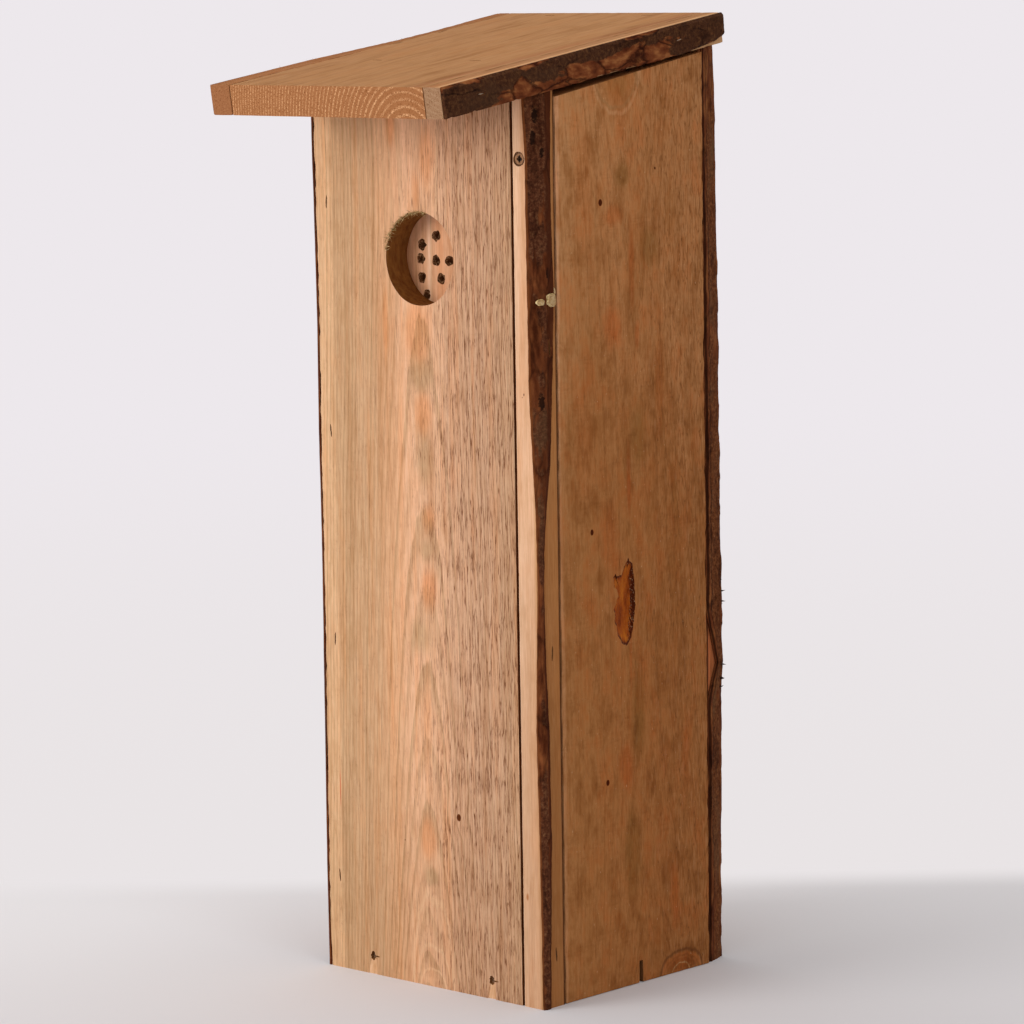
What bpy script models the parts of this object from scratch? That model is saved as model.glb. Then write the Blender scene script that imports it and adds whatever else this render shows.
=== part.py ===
"""Woodpecker nest box of rough-sawn, waney-edged boards with a side door that swings up.

Metres, +Z up. The origin is on the underside of the floor board, at the middle of the
box's footprint. The entrance faces -Y and the door is on the +X side.
"""

import math

import bmesh
import bpy
from mathutils import Matrix, Vector

# Boards and the room between them
BOARD = 0.0165                 # thickness of every sawn board
SEAT = 0.0003                  # gap left where two pieces touch
OVERRUN = 0.0020               # how far a cutter runs past the face that it opens

# Front: a wide board with bark on its left edge, and a narrow strip beside it
FRONT_WIDTH = 0.1464           # bark included
FRONT_HEIGHT = 0.4845          # base to roof underside, at the front face
STRIP_WIDTH = 0.0140
STRIP_GAP = 0.0016             # open joint between the front board and the strip
LEFT_BARK = 0.0020
LEFT_WAVE = 0.0010             # how far the bark line wanders
STRIP_BARK = 0.0021
BARK_LIP = 0.0006              # bark thickness where it ends at a sawn face

# Sides, back and floor
INNER_DEPTH = 0.1211           # back of the front board to the front of the back board
WALL_INSET = 0.0025            # left wall behind the front board's bark line
BACK_BARK = 0.0024
BACK_WANE = 0.0069             # how far the back board's right edge leans in
HANG_HOLE_RADIUS = 0.0040
HANG_HOLE_BELOW_TOP = 0.0845

# Roof: a wide board with a strip on each side, the right one with its bark on
ROOF_SLOPE = math.radians(8.66)
ROOF_OVER_FRONT = 0.0667       # along the slope, from the front face
ROOF_OVER_LEFT = 0.0072        # past the front board's bark
ROOF_OVER_RIGHT = 0.0030       # past the door's face, bark included
ROOF_LEFT_WIDTH = 0.0145
ROOF_RIGHT_WIDTH = 0.0118
ROOF_BARK = 0.0026
ROOF_JOINT = 0.0005
ROOF_WANE_WIDTH = 0.0095       # of the left strip's rounded edge, where it is widest
ROOF_WANE_DROP = 0.0032

# Door
DOOR_GAP = 0.0012              # to the front strip and to the back board
DOOR_LIFT = 0.0003             # bottom edge above the base
DOOR_TOP_GAP_FRONT = 0.0040
DOOR_TOP_GAP_REAR = 0.0019
PIVOT_BELOW_TOP = 0.0330       # below the front height
PIVOT_INSET = 0.0096           # pivot axis behind the door's face
SLOT_WIDTH = 0.0032
SLOT_HEIGHT = 0.0120
SLOT_FROM_FRONT = 0.0612       # from the door's front edge
POCKET_WIDTH = 0.0172          # resin pocket in the door's face
POCKET_HEIGHT = 0.0477
POCKET_DEPTH = 0.0018
POCKET_FROM_FRONT = 0.0507
POCKET_CENTRE_HEIGHT = 0.2112

# Entrance
HOLE_RADIUS = 0.0250
HOLE_FROM_LEFT = 0.0793
HOLE_BELOW_TOP = 0.0877        # of its centre, below the front height
PLUG_WIDTH = 0.0700
PLUG_HEIGHT = 0.0800
PILOT_RADIUS = 0.0025

# Fasteners
STAPLE_CROWN = 0.0060
STAPLE_WIRE = 0.0012
STAPLE_LEG = 0.0250
STAPLE_SUNK = 0.0006
STAPLE_TILT = math.radians(4)
NAIL_RADIUS = 0.0011
NAIL_HEAD_RADIUS = 0.0017
NAIL_HEAD = 0.0012
NAIL_LENGTH = 0.0400
NAIL_TIP = 0.0025
NAIL_SUNK = 0.0016
NAIL_HEIGHT = 0.0102
NAIL_FROM_LEFT = 0.0344
NAIL_FROM_RIGHT = 0.0225       # from the front board's right edge
SCREW_RADIUS = 0.0019
SCREW_HEAD_RADIUS = 0.0034
SCREW_HEAD = 0.0022
SCREW_LENGTH = 0.0400
SCREW_TIP = 0.0040
SCREW_SUNK = 0.0005
RECESS_LENGTH = 0.0038         # cross recess in the screw head
RECESS_WIDTH = 0.0009
RECESS_DEPTH = 0.0014
FRONT_STAPLE_INSET = 0.0096    # from the bark line to the left wall's edge
SIDE_STAPLE_DEPTH = 0.0103     # from the front face, in the strip's side
ROOF_STAPLE_AHEAD = 0.0398     # in the roof strips, ahead of the box's front face
ROOF_STAPLE_BEHIND = 0.1176    # and behind it
TOP_STAPLE_INSET = 0.0450      # from the box's sides, along the front and back boards
TOP_STAPLE_DEPTH_FRONT = 0.0600
TOP_STAPLE_DEPTH_REAR = 0.0960
PLUG_STAPLE_INSET = 0.0045     # from the plug's sides

# Round pieces
HOLE_SIDES = 48
SMALL_SIDES = 14

# Heights as shares of a board's height, and there the bark's run across the front strip's
# face as shares of its width and along its side as shares of its thickness
STRIP_HEIGHT_SHARES = (0, 0.10, 0.19, 0.31, 0.40, 0.46, 0.51, 0.55, 0.60, 0.68, 0.78, 0.88, 0.93, 1)
STRIP_FACE_SHARES = (0.06, 0.08, 0.13, 0.20, 0.12, 0.06, 0.06, 0.10, 0.21, 0.34, 0.37, 0.40, 0.39, 0.55)
STRIP_SIDE_SHARES = (0.29, 0.36, 0.44, 0.40, 0.27, 0.23, 0.27, 0.38, 0.60, 0.75, 0.88, 0.79, 0.80, 0.86)
STRIP_BARK_SHARES = (0.7, 0.9, 0.8, 1.0, 0.7, 0.6, 0.7, 0.8, 1.0, 0.9, 1.0, 0.8, 1.0, 0.9)

# The front board's left bark line and the back board's right edge
LEFT_HEIGHT_SHARES = (0, 0.12, 0.25, 0.38, 0.50, 0.62, 0.74, 0.86, 0.93, 1)
LEFT_WAVE_SHARES = (0.1, -0.3, 0.2, 0.6, 0.9, 0.3, 0.8, 0.1, -0.5, -0.9)
LEFT_BARK_SHARES = (0.8, 1.0, 0.7, 0.9, 0.6, 0.9, 0.7, 1.0, 0.8, 0.9)
BACK_HEIGHT_SHARES = (0, 0.06, 0.18, 0.29, 0.33, 0.39, 0.49, 0.58, 0.73, 0.88, 0.96, 1)
BACK_WANE_SHARES = (0.78, 0.78, 0.71, 0.59, 0.41, 0.38, 0.49, 0.55, 0.54, 0.61, 0.68, 0.83)
BACK_BARK_SHARES = (0.8, 0.9, 1.0, 0.9, 0.8, 0.8, 0.9, 0.9, 0.8, 0.5, 0.5, 0.5)
BACK_BARE_SHARES = (0.03, 0.03, 0.04, 0.10, 0.66, 0.06, 0.03, 0.04, 0.03, 0.05, 0.03, 0.03)

# Along the roof from its front end: bark thickness, and the left strip's rounded edge
ROOF_LENGTH_SHARES = (0, 0.10, 0.22, 0.34, 0.46, 0.58, 0.70, 0.82, 0.92, 1)
ROOF_BARK_SHARES = (0.9, 1.0, 0.8, 0.9, 0.6, 0.8, 1.0, 0.9, 1.0, 0.8)
ROOF_WANE_SHARES = (0.06, 0.06, 0.10, 0.20, 0.50, 0.85, 1.0, 0.90, 0.65, 0.60)

# Pilot holes in the plug, from the entrance's centre, as shares of the entrance's radius
PILOT_SHARES = (
    (-0.14, 0.45), (-0.56, 0.25), (-0.61, -0.05), (-0.15, -0.07), (0.24, -0.07), (-0.58, -0.46),
    (0.00, -0.46), (-0.44, -0.84), (0.46, 0.44), (0.63, -0.08), (0.50, -0.52),
)
# The resin pocket's outline, from its centre, as shares of its width and height
POCKET_SHARES = (
    (0.22, 0.50), (0.41, 0.40), (0.49, 0.16), (0.46, -0.14), (0.32, -0.35), (0.03, -0.50),
    (-0.48, -0.30), (-0.49, -0.05), (-0.32, 0.03), (-0.33, 0.17), (-0.50, 0.24), (-0.50, 0.38),
    (-0.07, 0.32), (-0.03, 0.40),
)
# Heights of the staples, as shares of the front height
FRONT_STAPLE_SHARES = (0.878, 0.620, 0.382, 0.108)
STRIP_STAPLE_SHARES = (0.728, 0.394, 0.059)

# Places that follow from the sizes
BOX_WIDTH = FRONT_WIDTH + STRIP_GAP + STRIP_WIDTH
BOX_DEPTH = 2 * BOARD + INNER_DEPTH
X_LEFT = -BOX_WIDTH / 2
X_RIGHT = BOX_WIDTH / 2
Y_FRONT = -BOX_DEPTH / 2
Y_BACK = BOX_DEPTH / 2
Y_INNER_FRONT = Y_FRONT + BOARD
Y_INNER_BACK = Y_BACK - BOARD
X_WALL = X_LEFT + WALL_INSET
X_DOOR_INNER = X_RIGHT - BOARD
X_STRIP = X_RIGHT - STRIP_WIDTH
ENTRANCE = Vector((X_LEFT + HOLE_FROM_LEFT, Y_FRONT, FRONT_HEIGHT - HOLE_BELOW_TOP))
DOOR_FRONT = Y_INNER_FRONT + DOOR_GAP
DOOR_REAR = Y_INNER_BACK - DOOR_GAP
PIVOT_HEIGHT = FRONT_HEIGHT - PIVOT_BELOW_TOP
PIVOT = Vector((X_RIGHT - PIVOT_INSET, (DOOR_FRONT + DOOR_REAR) / 2, PIVOT_HEIGHT))
ROOF_LENGTH = ROOF_OVER_FRONT + BOX_DEPTH / math.cos(ROOF_SLOPE)
ROOF_BACK = ROOF_LENGTH - ROOF_OVER_FRONT
X_ROOF_RIGHT = X_RIGHT + ROOF_OVER_RIGHT - ROOF_BARK - SEAT
X_ROOF_BOARD_RIGHT = X_ROOF_RIGHT - ROOF_RIGHT_WIDTH - ROOF_JOINT
X_ROOF_LEFT = X_LEFT - ROOF_OVER_LEFT
X_ROOF_BOARD_LEFT = X_ROOF_LEFT + ROOF_LEFT_WIDTH + ROOF_JOINT
ROOF_PLACE = Matrix.Translation((0, Y_FRONT, FRONT_HEIGHT)) @ Matrix.Rotation(ROOF_SLOPE, 4, "X")

UP = Vector((0, 0, 1))
AHEAD = Vector((0, -1, 0))
RIGHT = Vector((1, 0, 0))


def clear_scene():
    for item in list(bpy.data.objects):
        bpy.data.objects.remove(item, do_unlink=True)


def new_collection(name):
    group = bpy.data.collections.new(name)
    bpy.context.scene.collection.children.link(group)
    return group


def material(name, hex_colour, roughness, metallic=0.0):
    """A Principled material; the colour is an sRGB hex value, turned to linear here."""
    parts = [int(hex_colour[i:i + 2], 16) / 255 for i in (0, 2, 4)]
    linear = [c / 12.92 if c <= 0.04045 else ((c + 0.055) / 1.055) ** 2.4 for c in parts]
    made = bpy.data.materials.new(name)
    made.use_nodes = True
    shader = made.node_tree.nodes["Principled BSDF"]
    shader.inputs["Base Color"].default_value = (*linear, 1)
    shader.inputs["Roughness"].default_value = roughness
    shader.inputs["Metallic"].default_value = metallic
    return made


def place_in(group, name, mesh, surface):
    item = bpy.data.objects.new(name, mesh)
    group.objects.link(item)
    if surface:
        mesh.materials.append(surface)
    return item


def finish(name, bm, surface, group=None):
    """Turn a bmesh into an object, with its faces pointing outward."""
    bmesh.ops.recalc_face_normals(bm, faces=bm.faces)
    mesh = bpy.data.meshes.new(name)
    bm.to_mesh(mesh)
    bm.free()
    return place_in(group or PARTS, name, mesh, surface)


def as_cutter(item):
    item.hide_render = True
    item.display_type = "WIRE"
    return item


def cut(target, cutter):
    step = target.modifiers.new(cutter.name, "BOOLEAN")
    step.operation = "DIFFERENCE"
    step.solver = "EXACT"
    step.object = cutter


def add_box(bm, low, high):
    """A box between two corners."""
    size = Vector(high) - Vector(low)
    middle = (Vector(high) + Vector(low)) / 2
    bmesh.ops.create_cube(bm, size=1, matrix=Matrix.Translation(middle) @ Matrix.Diagonal((*size, 1)))


def add_loft(bm, rings):
    """A closed body through rings of equal count; a bark layer splits its sides as its board does."""
    rows = [[bm.verts.new(point) for point in ring] for ring in rings]
    for row, after in zip(rows, rows[1:]):
        for i in range(len(row)):
            j = (i + 1) % len(row)
            bm.faces.new((row[i], row[j], after[j]))
            bm.faces.new((row[i], after[j], after[i]))
    bm.faces.new(list(reversed(rows[0])))
    bm.faces.new(rows[-1])


def add_prism(bm, outline, depth, place):
    """A flat outline in x and z, extruded along y to both sides and then placed."""
    face = bm.faces.new([bm.verts.new((x, -depth / 2, z)) for x, z in outline])
    swept = bmesh.ops.extrude_face_region(bm, geom=[face])["geom"]
    moved = [v for v in swept if isinstance(v, bmesh.types.BMVert)]
    bmesh.ops.translate(bm, verts=moved, vec=(0, depth, 0))
    bmesh.ops.transform(bm, matrix=place, verts=moved + list(face.verts))


def add_rod(bm, radius, start, end, sides):
    """A cylinder between two points."""
    along = end - start
    turn = along.to_track_quat("Z", "X").to_matrix().to_4x4()
    place = Matrix.Translation((start + end) / 2) @ turn
    bmesh.ops.create_cone(bm, cap_ends=True, segments=sides, radius1=radius, radius2=radius,
                          depth=along.length, matrix=place)


def turned(name, profile, place, surface, group=None):
    """A profile of (radius, height) points, run down its outer side and turned about its axis."""
    mesh = bpy.data.meshes.new(name)
    edges = [(i, i + 1) for i in range(len(profile) - 1)]
    mesh.from_pydata([(radius, 0, height) for radius, height in profile], edges, [])
    item = place_in(group or PARTS, name, mesh, surface)
    item.matrix_world = place
    spin = item.modifiers.new("turn", "SCREW")
    spin.steps = SMALL_SIDES
    spin.render_steps = SMALL_SIDES
    spin.use_merge_vertices = True
    spin.merge_threshold = SEAT / 10
    return item


def facing(point, out, along, tilt=0.0):
    """A place with its z axis out of the wood and its x axis along the grain, turned by tilt."""
    across = out.cross(along)
    axes = Matrix((along, across, out)).transposed().to_4x4()
    return Matrix.Translation(point) @ axes @ Matrix.Rotation(tilt, 4, "Z")


def between(low, high, share):
    return low + (high - low) * share


def roof_under(y):
    """Height of the roof's underside at depth y."""
    return FRONT_HEIGHT + (y - Y_FRONT) * math.tan(ROOF_SLOPE)


def upright_ring(outline, share):
    """An outline in x and y as a ring at a share of the height up to the sloping roof."""
    return [(x, y, (roof_under(y) - SEAT) * share) for x, y in outline]


def skin_ring(line, out, thickness):
    """A bark layer over a line: its inner side a seat away, its outer side as thick as given."""
    inner = [point + out * SEAT for point in line]
    outer = [point + out * (SEAT + thick) for point, thick in zip(line, thickness)]
    return inner + list(reversed(outer))


def strip_wane(i):
    """The line that the bark covers on the corner strip at station i, front end first."""
    face = Vector((X_RIGHT - STRIP_WIDTH * STRIP_FACE_SHARES[i], Y_FRONT))
    side = Vector((X_RIGHT, Y_FRONT + BOARD * STRIP_SIDE_SHARES[i]))
    return [face, between(face, side, 1 / 3), between(face, side, 2 / 3), side]


def left_line(i):
    """The wood's left edge on the front board at station i."""
    return X_LEFT + LEFT_BARK + SEAT + LEFT_WAVE * LEFT_WAVE_SHARES[i]


def back_edge(i):
    """The back board's right edge at station i: its front corner, then the line under the bark."""
    lean = BACK_WANE * BACK_WANE_SHARES[i]
    bare = BACK_BARE_SHARES[i]
    front = X_RIGHT - BACK_BARK - SEAT
    return [Vector((front - lean * share, between(Y_INNER_BACK, Y_BACK, share)))
            for share in (0, bare, (bare + 1) / 2, 1)]


# Staples

def staple_outline(room, open_top):
    """A staple seen from its side, grown by room, with its crown's top at open_top."""
    half = STAPLE_CROWN / 2 + room
    inside = STAPLE_CROWN / 2 - STAPLE_WIRE - room
    foot = -STAPLE_LEG - room
    under = -STAPLE_WIRE - room
    return ((-half, open_top), (half, open_top), (half, foot), (inside, foot),
            (inside, under), (-inside, under), (-inside, foot), (-half, foot))


def staple(name, point, out, along, tilt, boards):
    """A staple with its crown just under the surface, and its slot in each board it holds."""
    place = facing(point - out * STAPLE_SUNK, out, along, tilt)
    bm = bmesh.new()
    add_prism(bm, staple_outline(0, 0), STAPLE_WIRE, place)
    finish(name, bm, STEEL)
    bm = bmesh.new()
    add_prism(bm, staple_outline(SEAT, STAPLE_SUNK + OVERRUN), STAPLE_WIRE + 2 * SEAT, place)
    slot = as_cutter(finish(name + "_slot", bm, None, CUTTERS))
    for board in boards:
        cut(board, slot)


# Nails and screws

def fastener(name, profile, grown, place, boards, surface):
    """A turned fastener, and the hole that it leaves in each board."""
    made = turned(name, profile, place, surface)
    hole = as_cutter(turned(name + "_hole", grown, place, None, CUTTERS))
    for board in boards:
        cut(board, hole)
    return made


def nail(name, point, out, boards):
    place = facing(point - out * NAIL_SUNK, out, UP)
    profile = ((0, 0), (NAIL_HEAD_RADIUS, 0), (NAIL_HEAD_RADIUS, -NAIL_HEAD / 2),
               (NAIL_RADIUS, -NAIL_HEAD), (NAIL_RADIUS, -NAIL_LENGTH), (0, -NAIL_LENGTH - NAIL_TIP))
    head = NAIL_HEAD_RADIUS + SEAT
    shank = NAIL_RADIUS + SEAT
    grown = ((0, NAIL_SUNK + OVERRUN), (head, NAIL_SUNK + OVERRUN), (head, -NAIL_HEAD),
             (shank, -NAIL_HEAD - SEAT), (shank, -NAIL_LENGTH - NAIL_TIP), (0, -NAIL_LENGTH - NAIL_TIP - SEAT))
    return fastener(name, profile, grown, place, boards, STEEL)


def pivot_screw(name, point, out, boards):
    """A countersunk screw with a cross recess; it turns in the fixed board, with the door."""
    place = facing(point - out * SCREW_SUNK, out, UP)
    profile = ((0, 0), (SCREW_HEAD_RADIUS, 0), (SCREW_RADIUS, -SCREW_HEAD),
               (SCREW_RADIUS, -SCREW_LENGTH + SCREW_TIP), (0, -SCREW_LENGTH))
    head = SCREW_HEAD_RADIUS + SEAT
    shank = SCREW_RADIUS + SEAT
    grown = ((0, SCREW_SUNK + OVERRUN), (head, SCREW_SUNK + OVERRUN), (head, -SEAT),
             (shank, -SCREW_HEAD - SEAT), (shank, -SCREW_LENGTH), (0, -SCREW_LENGTH - SEAT))
    made = fastener(name, profile, grown, place, boards, BRIGHT_STEEL)
    bm = bmesh.new()
    arm = RECESS_LENGTH / 2
    half = RECESS_WIDTH / 2
    cross = ((-half, -arm), (half, -arm), (half, -half), (arm, -half), (arm, half), (half, half),
             (half, arm), (-half, arm), (-half, half), (-arm, half), (-arm, -half), (-half, -half))
    lie = place @ Matrix.Rotation(math.pi / 2, 4, "X")
    add_prism(bm, cross, 2 * RECESS_DEPTH, lie)
    cut(made, as_cutter(finish(name + "_recess", bm, None, CUTTERS)))
    return made


# Boards of the box

def make_front_board():
    right = X_LEFT + FRONT_WIDTH
    bm = bmesh.new()
    rings = []
    for i, share in enumerate(LEFT_HEIGHT_SHARES):
        left = left_line(i)
        outline = ((left, Y_FRONT), (right, Y_FRONT), (right, Y_INNER_FRONT), (left, Y_INNER_FRONT))
        rings.append(upright_ring(outline, share))
    add_loft(bm, rings)
    board = finish("front_board", bm, SAWN)
    bm = bmesh.new()
    add_rod(bm, HOLE_RADIUS, ENTRANCE + AHEAD * OVERRUN, ENTRANCE - AHEAD * (BOARD + OVERRUN), HOLE_SIDES)
    cut(board, as_cutter(finish("entrance_hole", bm, None, CUTTERS)))
    return board


def make_front_bark():
    bm = bmesh.new()
    rings = []
    for i, share in enumerate(LEFT_HEIGHT_SHARES):
        left = left_line(i)
        thick = LEFT_BARK * LEFT_BARK_SHARES[i]
        line = [Vector((left, y)) for y in (Y_FRONT, (Y_FRONT + Y_INNER_FRONT) / 2, Y_INNER_FRONT)]
        ring = skin_ring(line, Vector((-1, 0)), (thick, LEFT_BARK, thick))
        rings.append(upright_ring(ring, share))
    add_loft(bm, rings)
    return finish("front_board_bark", bm, BARK)


def make_corner_strip():
    bm = bmesh.new()
    rings = []
    for i, share in enumerate(STRIP_HEIGHT_SHARES):
        outline = [(X_STRIP, Y_FRONT), *strip_wane(i), (X_RIGHT, Y_INNER_FRONT), (X_STRIP, Y_INNER_FRONT)]
        rings.append(upright_ring(outline, share))
    add_loft(bm, rings)
    return finish("corner_strip", bm, SAPWOOD)


def make_corner_bark():
    bm = bmesh.new()
    rings = []
    for i, share in enumerate(STRIP_HEIGHT_SHARES):
        line = strip_wane(i)
        along = line[-1] - line[0]
        out = Vector((along.y, -along.x)).normalized()
        thick = STRIP_BARK * STRIP_BARK_SHARES[i]
        ring = skin_ring(line, out, (BARK_LIP, thick, thick, BARK_LIP))
        rings.append(upright_ring(ring, share))
    add_loft(bm, rings)
    return finish("corner_strip_bark", bm, BARK)


def make_left_wall():
    left = X_WALL
    right = X_WALL + BOARD
    front = Y_INNER_FRONT + SEAT
    back = Y_INNER_BACK - SEAT
    outline = ((left, front), (right, front), (right, back), (left, back))
    bm = bmesh.new()
    add_loft(bm, [upright_ring(outline, share) for share in (0, 1)])
    return finish("left_wall", bm, SAWN)


def make_back_board():
    bm = bmesh.new()
    rings = []
    for i, share in enumerate(BACK_HEIGHT_SHARES):
        outline = [(X_WALL, Y_INNER_BACK), *back_edge(i), (X_WALL, Y_BACK)]
        rings.append(upright_ring(outline, share))
    add_loft(bm, rings)
    board = finish("back_board", bm, SAWN)
    bm = bmesh.new()
    centre = Vector((0, Y_BACK, FRONT_HEIGHT - HANG_HOLE_BELOW_TOP))
    add_rod(bm, HANG_HOLE_RADIUS, centre - AHEAD * OVERRUN, centre + AHEAD * (BOARD + OVERRUN), SMALL_SIDES)
    cut(board, as_cutter(finish("hang_hole", bm, None, CUTTERS)))
    return board


def make_back_bark():
    bm = bmesh.new()
    rings = []
    for i, share in enumerate(BACK_HEIGHT_SHARES):
        line = back_edge(i)[1:]
        thick = BACK_BARK * BACK_BARK_SHARES[i]
        ring = skin_ring(line, Vector((1, 0)), (thick, BACK_BARK, thick))
        rings.append(upright_ring(ring, share))
    add_loft(bm, rings)
    return finish("back_board_bark", bm, BARK)


def make_floor_board():
    bm = bmesh.new()
    low = (X_WALL + BOARD + SEAT, Y_INNER_FRONT + SEAT, 0)
    high = (X_DOOR_INNER - SEAT, Y_INNER_BACK - SEAT, BOARD)
    add_box(bm, low, high)
    return finish("floor_board", bm, SAWN)


def make_entrance_plug():
    """The block behind the entrance, with pilot holes that start the bird's digging."""
    bm = bmesh.new()
    half = Vector((PLUG_WIDTH / 2, 0, PLUG_HEIGHT / 2))
    near = Vector((ENTRANCE.x, Y_INNER_FRONT + SEAT, ENTRANCE.z))
    far = near - AHEAD * BOARD
    add_box(bm, near - half, far + half)
    plug = finish("entrance_plug", bm, SAPWOOD)
    bm = bmesh.new()
    for across, up in PILOT_SHARES:
        aim = Vector((across * HOLE_RADIUS, 0, up * HOLE_RADIUS))
        add_rod(bm, PILOT_RADIUS, near + aim + AHEAD * OVERRUN, far + aim - AHEAD * OVERRUN, SMALL_SIDES)
    cut(plug, as_cutter(finish("pilot_holes", bm, None, CUTTERS)))
    return plug


# Door

def make_side_door():
    gap_front = Vector((DOOR_FRONT, roof_under(DOOR_FRONT) - DOOR_TOP_GAP_FRONT))
    gap_rear = Vector((DOOR_REAR, roof_under(DOOR_REAR) - DOOR_TOP_GAP_REAR))
    side = ((DOOR_FRONT, DOOR_LIFT), (DOOR_REAR, DOOR_LIFT), gap_rear, gap_front)
    bm = bmesh.new()
    add_loft(bm, [[(x, y, z) for y, z in side] for x in (X_DOOR_INNER, X_RIGHT)])
    door = finish("side_door", bm, SAWN)

    bm = bmesh.new()
    middle = DOOR_FRONT + SLOT_FROM_FRONT
    low = (X_DOOR_INNER - OVERRUN, middle - SLOT_WIDTH / 2, DOOR_LIFT - OVERRUN)
    high = (X_RIGHT + OVERRUN, middle + SLOT_WIDTH / 2, DOOR_LIFT + SLOT_HEIGHT)
    add_box(bm, low, high)
    cut(door, as_cutter(finish("door_slot", bm, None, CUTTERS)))

    bm = bmesh.new()
    centre = Vector((X_RIGHT, DOOR_FRONT + POCKET_FROM_FRONT, POCKET_CENTRE_HEIGHT))
    outline = [(across * POCKET_WIDTH, up * POCKET_HEIGHT) for across, up in POCKET_SHARES]
    place = Matrix.Translation(centre) @ Matrix.Rotation(math.pi / 2, 4, "Z")
    add_prism(bm, outline, 2 * POCKET_DEPTH, place)
    cut(door, as_cutter(finish("resin_pocket", bm, None, CUTTERS)))
    return door


def hang_on_pivot(pieces):
    """An empty on the joint axis carries the door and the screws that turn with it."""
    pivot = bpy.data.objects.new("door_pivot", None)
    PARTS.objects.link(pivot)
    pivot.location = PIVOT
    bpy.context.view_layer.update()
    for piece in pieces:
        piece.parent = pivot
        piece.matrix_parent_inverse = pivot.matrix_world.inverted()


# Roof

def roof_piece(name, outlines, surface):
    """A loft along the roof: outlines in x and z, one for each share of its length."""
    rings = []
    for share, outline in outlines:
        y = between(-ROOF_OVER_FRONT, ROOF_BACK, share)
        rings.append([ROOF_PLACE @ Vector((x, y, z)) for x, z in outline])
    bm = bmesh.new()
    add_loft(bm, rings)
    return finish(name, bm, surface)


def plank(left, right):
    return ((left, 0), (right, 0), (right, BOARD), (left, BOARD))


def make_roof_board():
    outline = plank(X_ROOF_BOARD_LEFT, X_ROOF_BOARD_RIGHT)
    return roof_piece("roof_board", [(share, outline) for share in (0, 1)], SAWN)


def make_roof_strip_right():
    outline = plank(X_ROOF_BOARD_RIGHT + ROOF_JOINT, X_ROOF_RIGHT)
    return roof_piece("roof_strip_right", [(share, outline) for share in (0, 1)], SAPWOOD)


def make_roof_strip_left():
    right = X_ROOF_BOARD_LEFT - ROOF_JOINT
    outlines = []
    for i, share in enumerate(ROOF_LENGTH_SHARES):
        run = ROOF_WANE_WIDTH * ROOF_WANE_SHARES[i]
        drop = ROOF_WANE_DROP * ROOF_WANE_SHARES[i]
        outlines.append((share, ((X_ROOF_LEFT, 0), (right, 0), (right, BOARD),
                                 (X_ROOF_LEFT + run, BOARD), (X_ROOF_LEFT, BOARD - drop))))
    return roof_piece("roof_strip_left", outlines, SAPWOOD)


def make_roof_bark():
    outlines = []
    for i, share in enumerate(ROOF_LENGTH_SHARES):
        line = [Vector((X_ROOF_RIGHT, BOARD * up)) for up in (0, 1 / 3, 2 / 3, 1)]
        thick = ROOF_BARK * ROOF_BARK_SHARES[i]
        outlines.append((share, skin_ring(line, Vector((1, 0)), (thick, ROOF_BARK, ROOF_BARK, thick))))
    return roof_piece("roof_strip_bark", outlines, BARK)


def roof_point(x, y, z):
    """A point of the sloping roof: x across, y along the slope from the front face, z up."""
    return ROOF_PLACE @ Vector((x, y, z))


# What holds the boards together

def tilt_of(i):
    return STAPLE_TILT if i % 2 else -STAPLE_TILT


def staple_front_and_back(front, wall, back):
    x = X_LEFT + FRONT_STAPLE_INSET
    for i, share in enumerate(FRONT_STAPLE_SHARES):
        height = FRONT_HEIGHT * share
        staple(f"front_staple_{i + 1}", Vector((x, Y_FRONT, height)), AHEAD, UP, tilt_of(i), (front, wall))
        staple(f"back_staple_{i + 1}", Vector((x, Y_BACK, height)), -AHEAD, UP, tilt_of(i), (back, wall))


def staple_strip(strip, bark, front):
    for i, share in enumerate(STRIP_STAPLE_SHARES):
        point = Vector((X_RIGHT, Y_FRONT + SIDE_STAPLE_DEPTH, FRONT_HEIGHT * share))
        held = (strip, bark, front) if i == 0 else (strip, front)
        staple(f"strip_staple_{i + 1}", point, RIGHT, UP, tilt_of(i + 1), held)


def staple_plug(plug, front):
    back_face = Y_INNER_FRONT + SEAT + BOARD
    reach = PLUG_WIDTH / 2 - PLUG_STAPLE_INSET
    for i, side in enumerate((-1, 1)):
        point = Vector((ENTRANCE.x + side * reach, back_face, ENTRANCE.z))
        staple(f"plug_staple_{i + 1}", point, -AHEAD, UP, tilt_of(i), (plug, front))


def staple_roof_strips(left, right, bark, board):
    slope = ROOF_PLACE.to_3x3() @ Vector((0, 1, 0))
    for i, along in enumerate((-ROOF_STAPLE_AHEAD, ROOF_STAPLE_BEHIND)):
        face = X_ROOF_RIGHT + SEAT + ROOF_BARK
        staple(f"roof_right_staple_{i + 1}", roof_point(face, along, BOARD / 2), RIGHT, slope,
               tilt_of(i), (bark, right, board))
        staple(f"roof_left_staple_{i + 1}", roof_point(X_ROOF_LEFT, along, BOARD / 2), -RIGHT, slope,
               tilt_of(i), (left, board))


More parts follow.
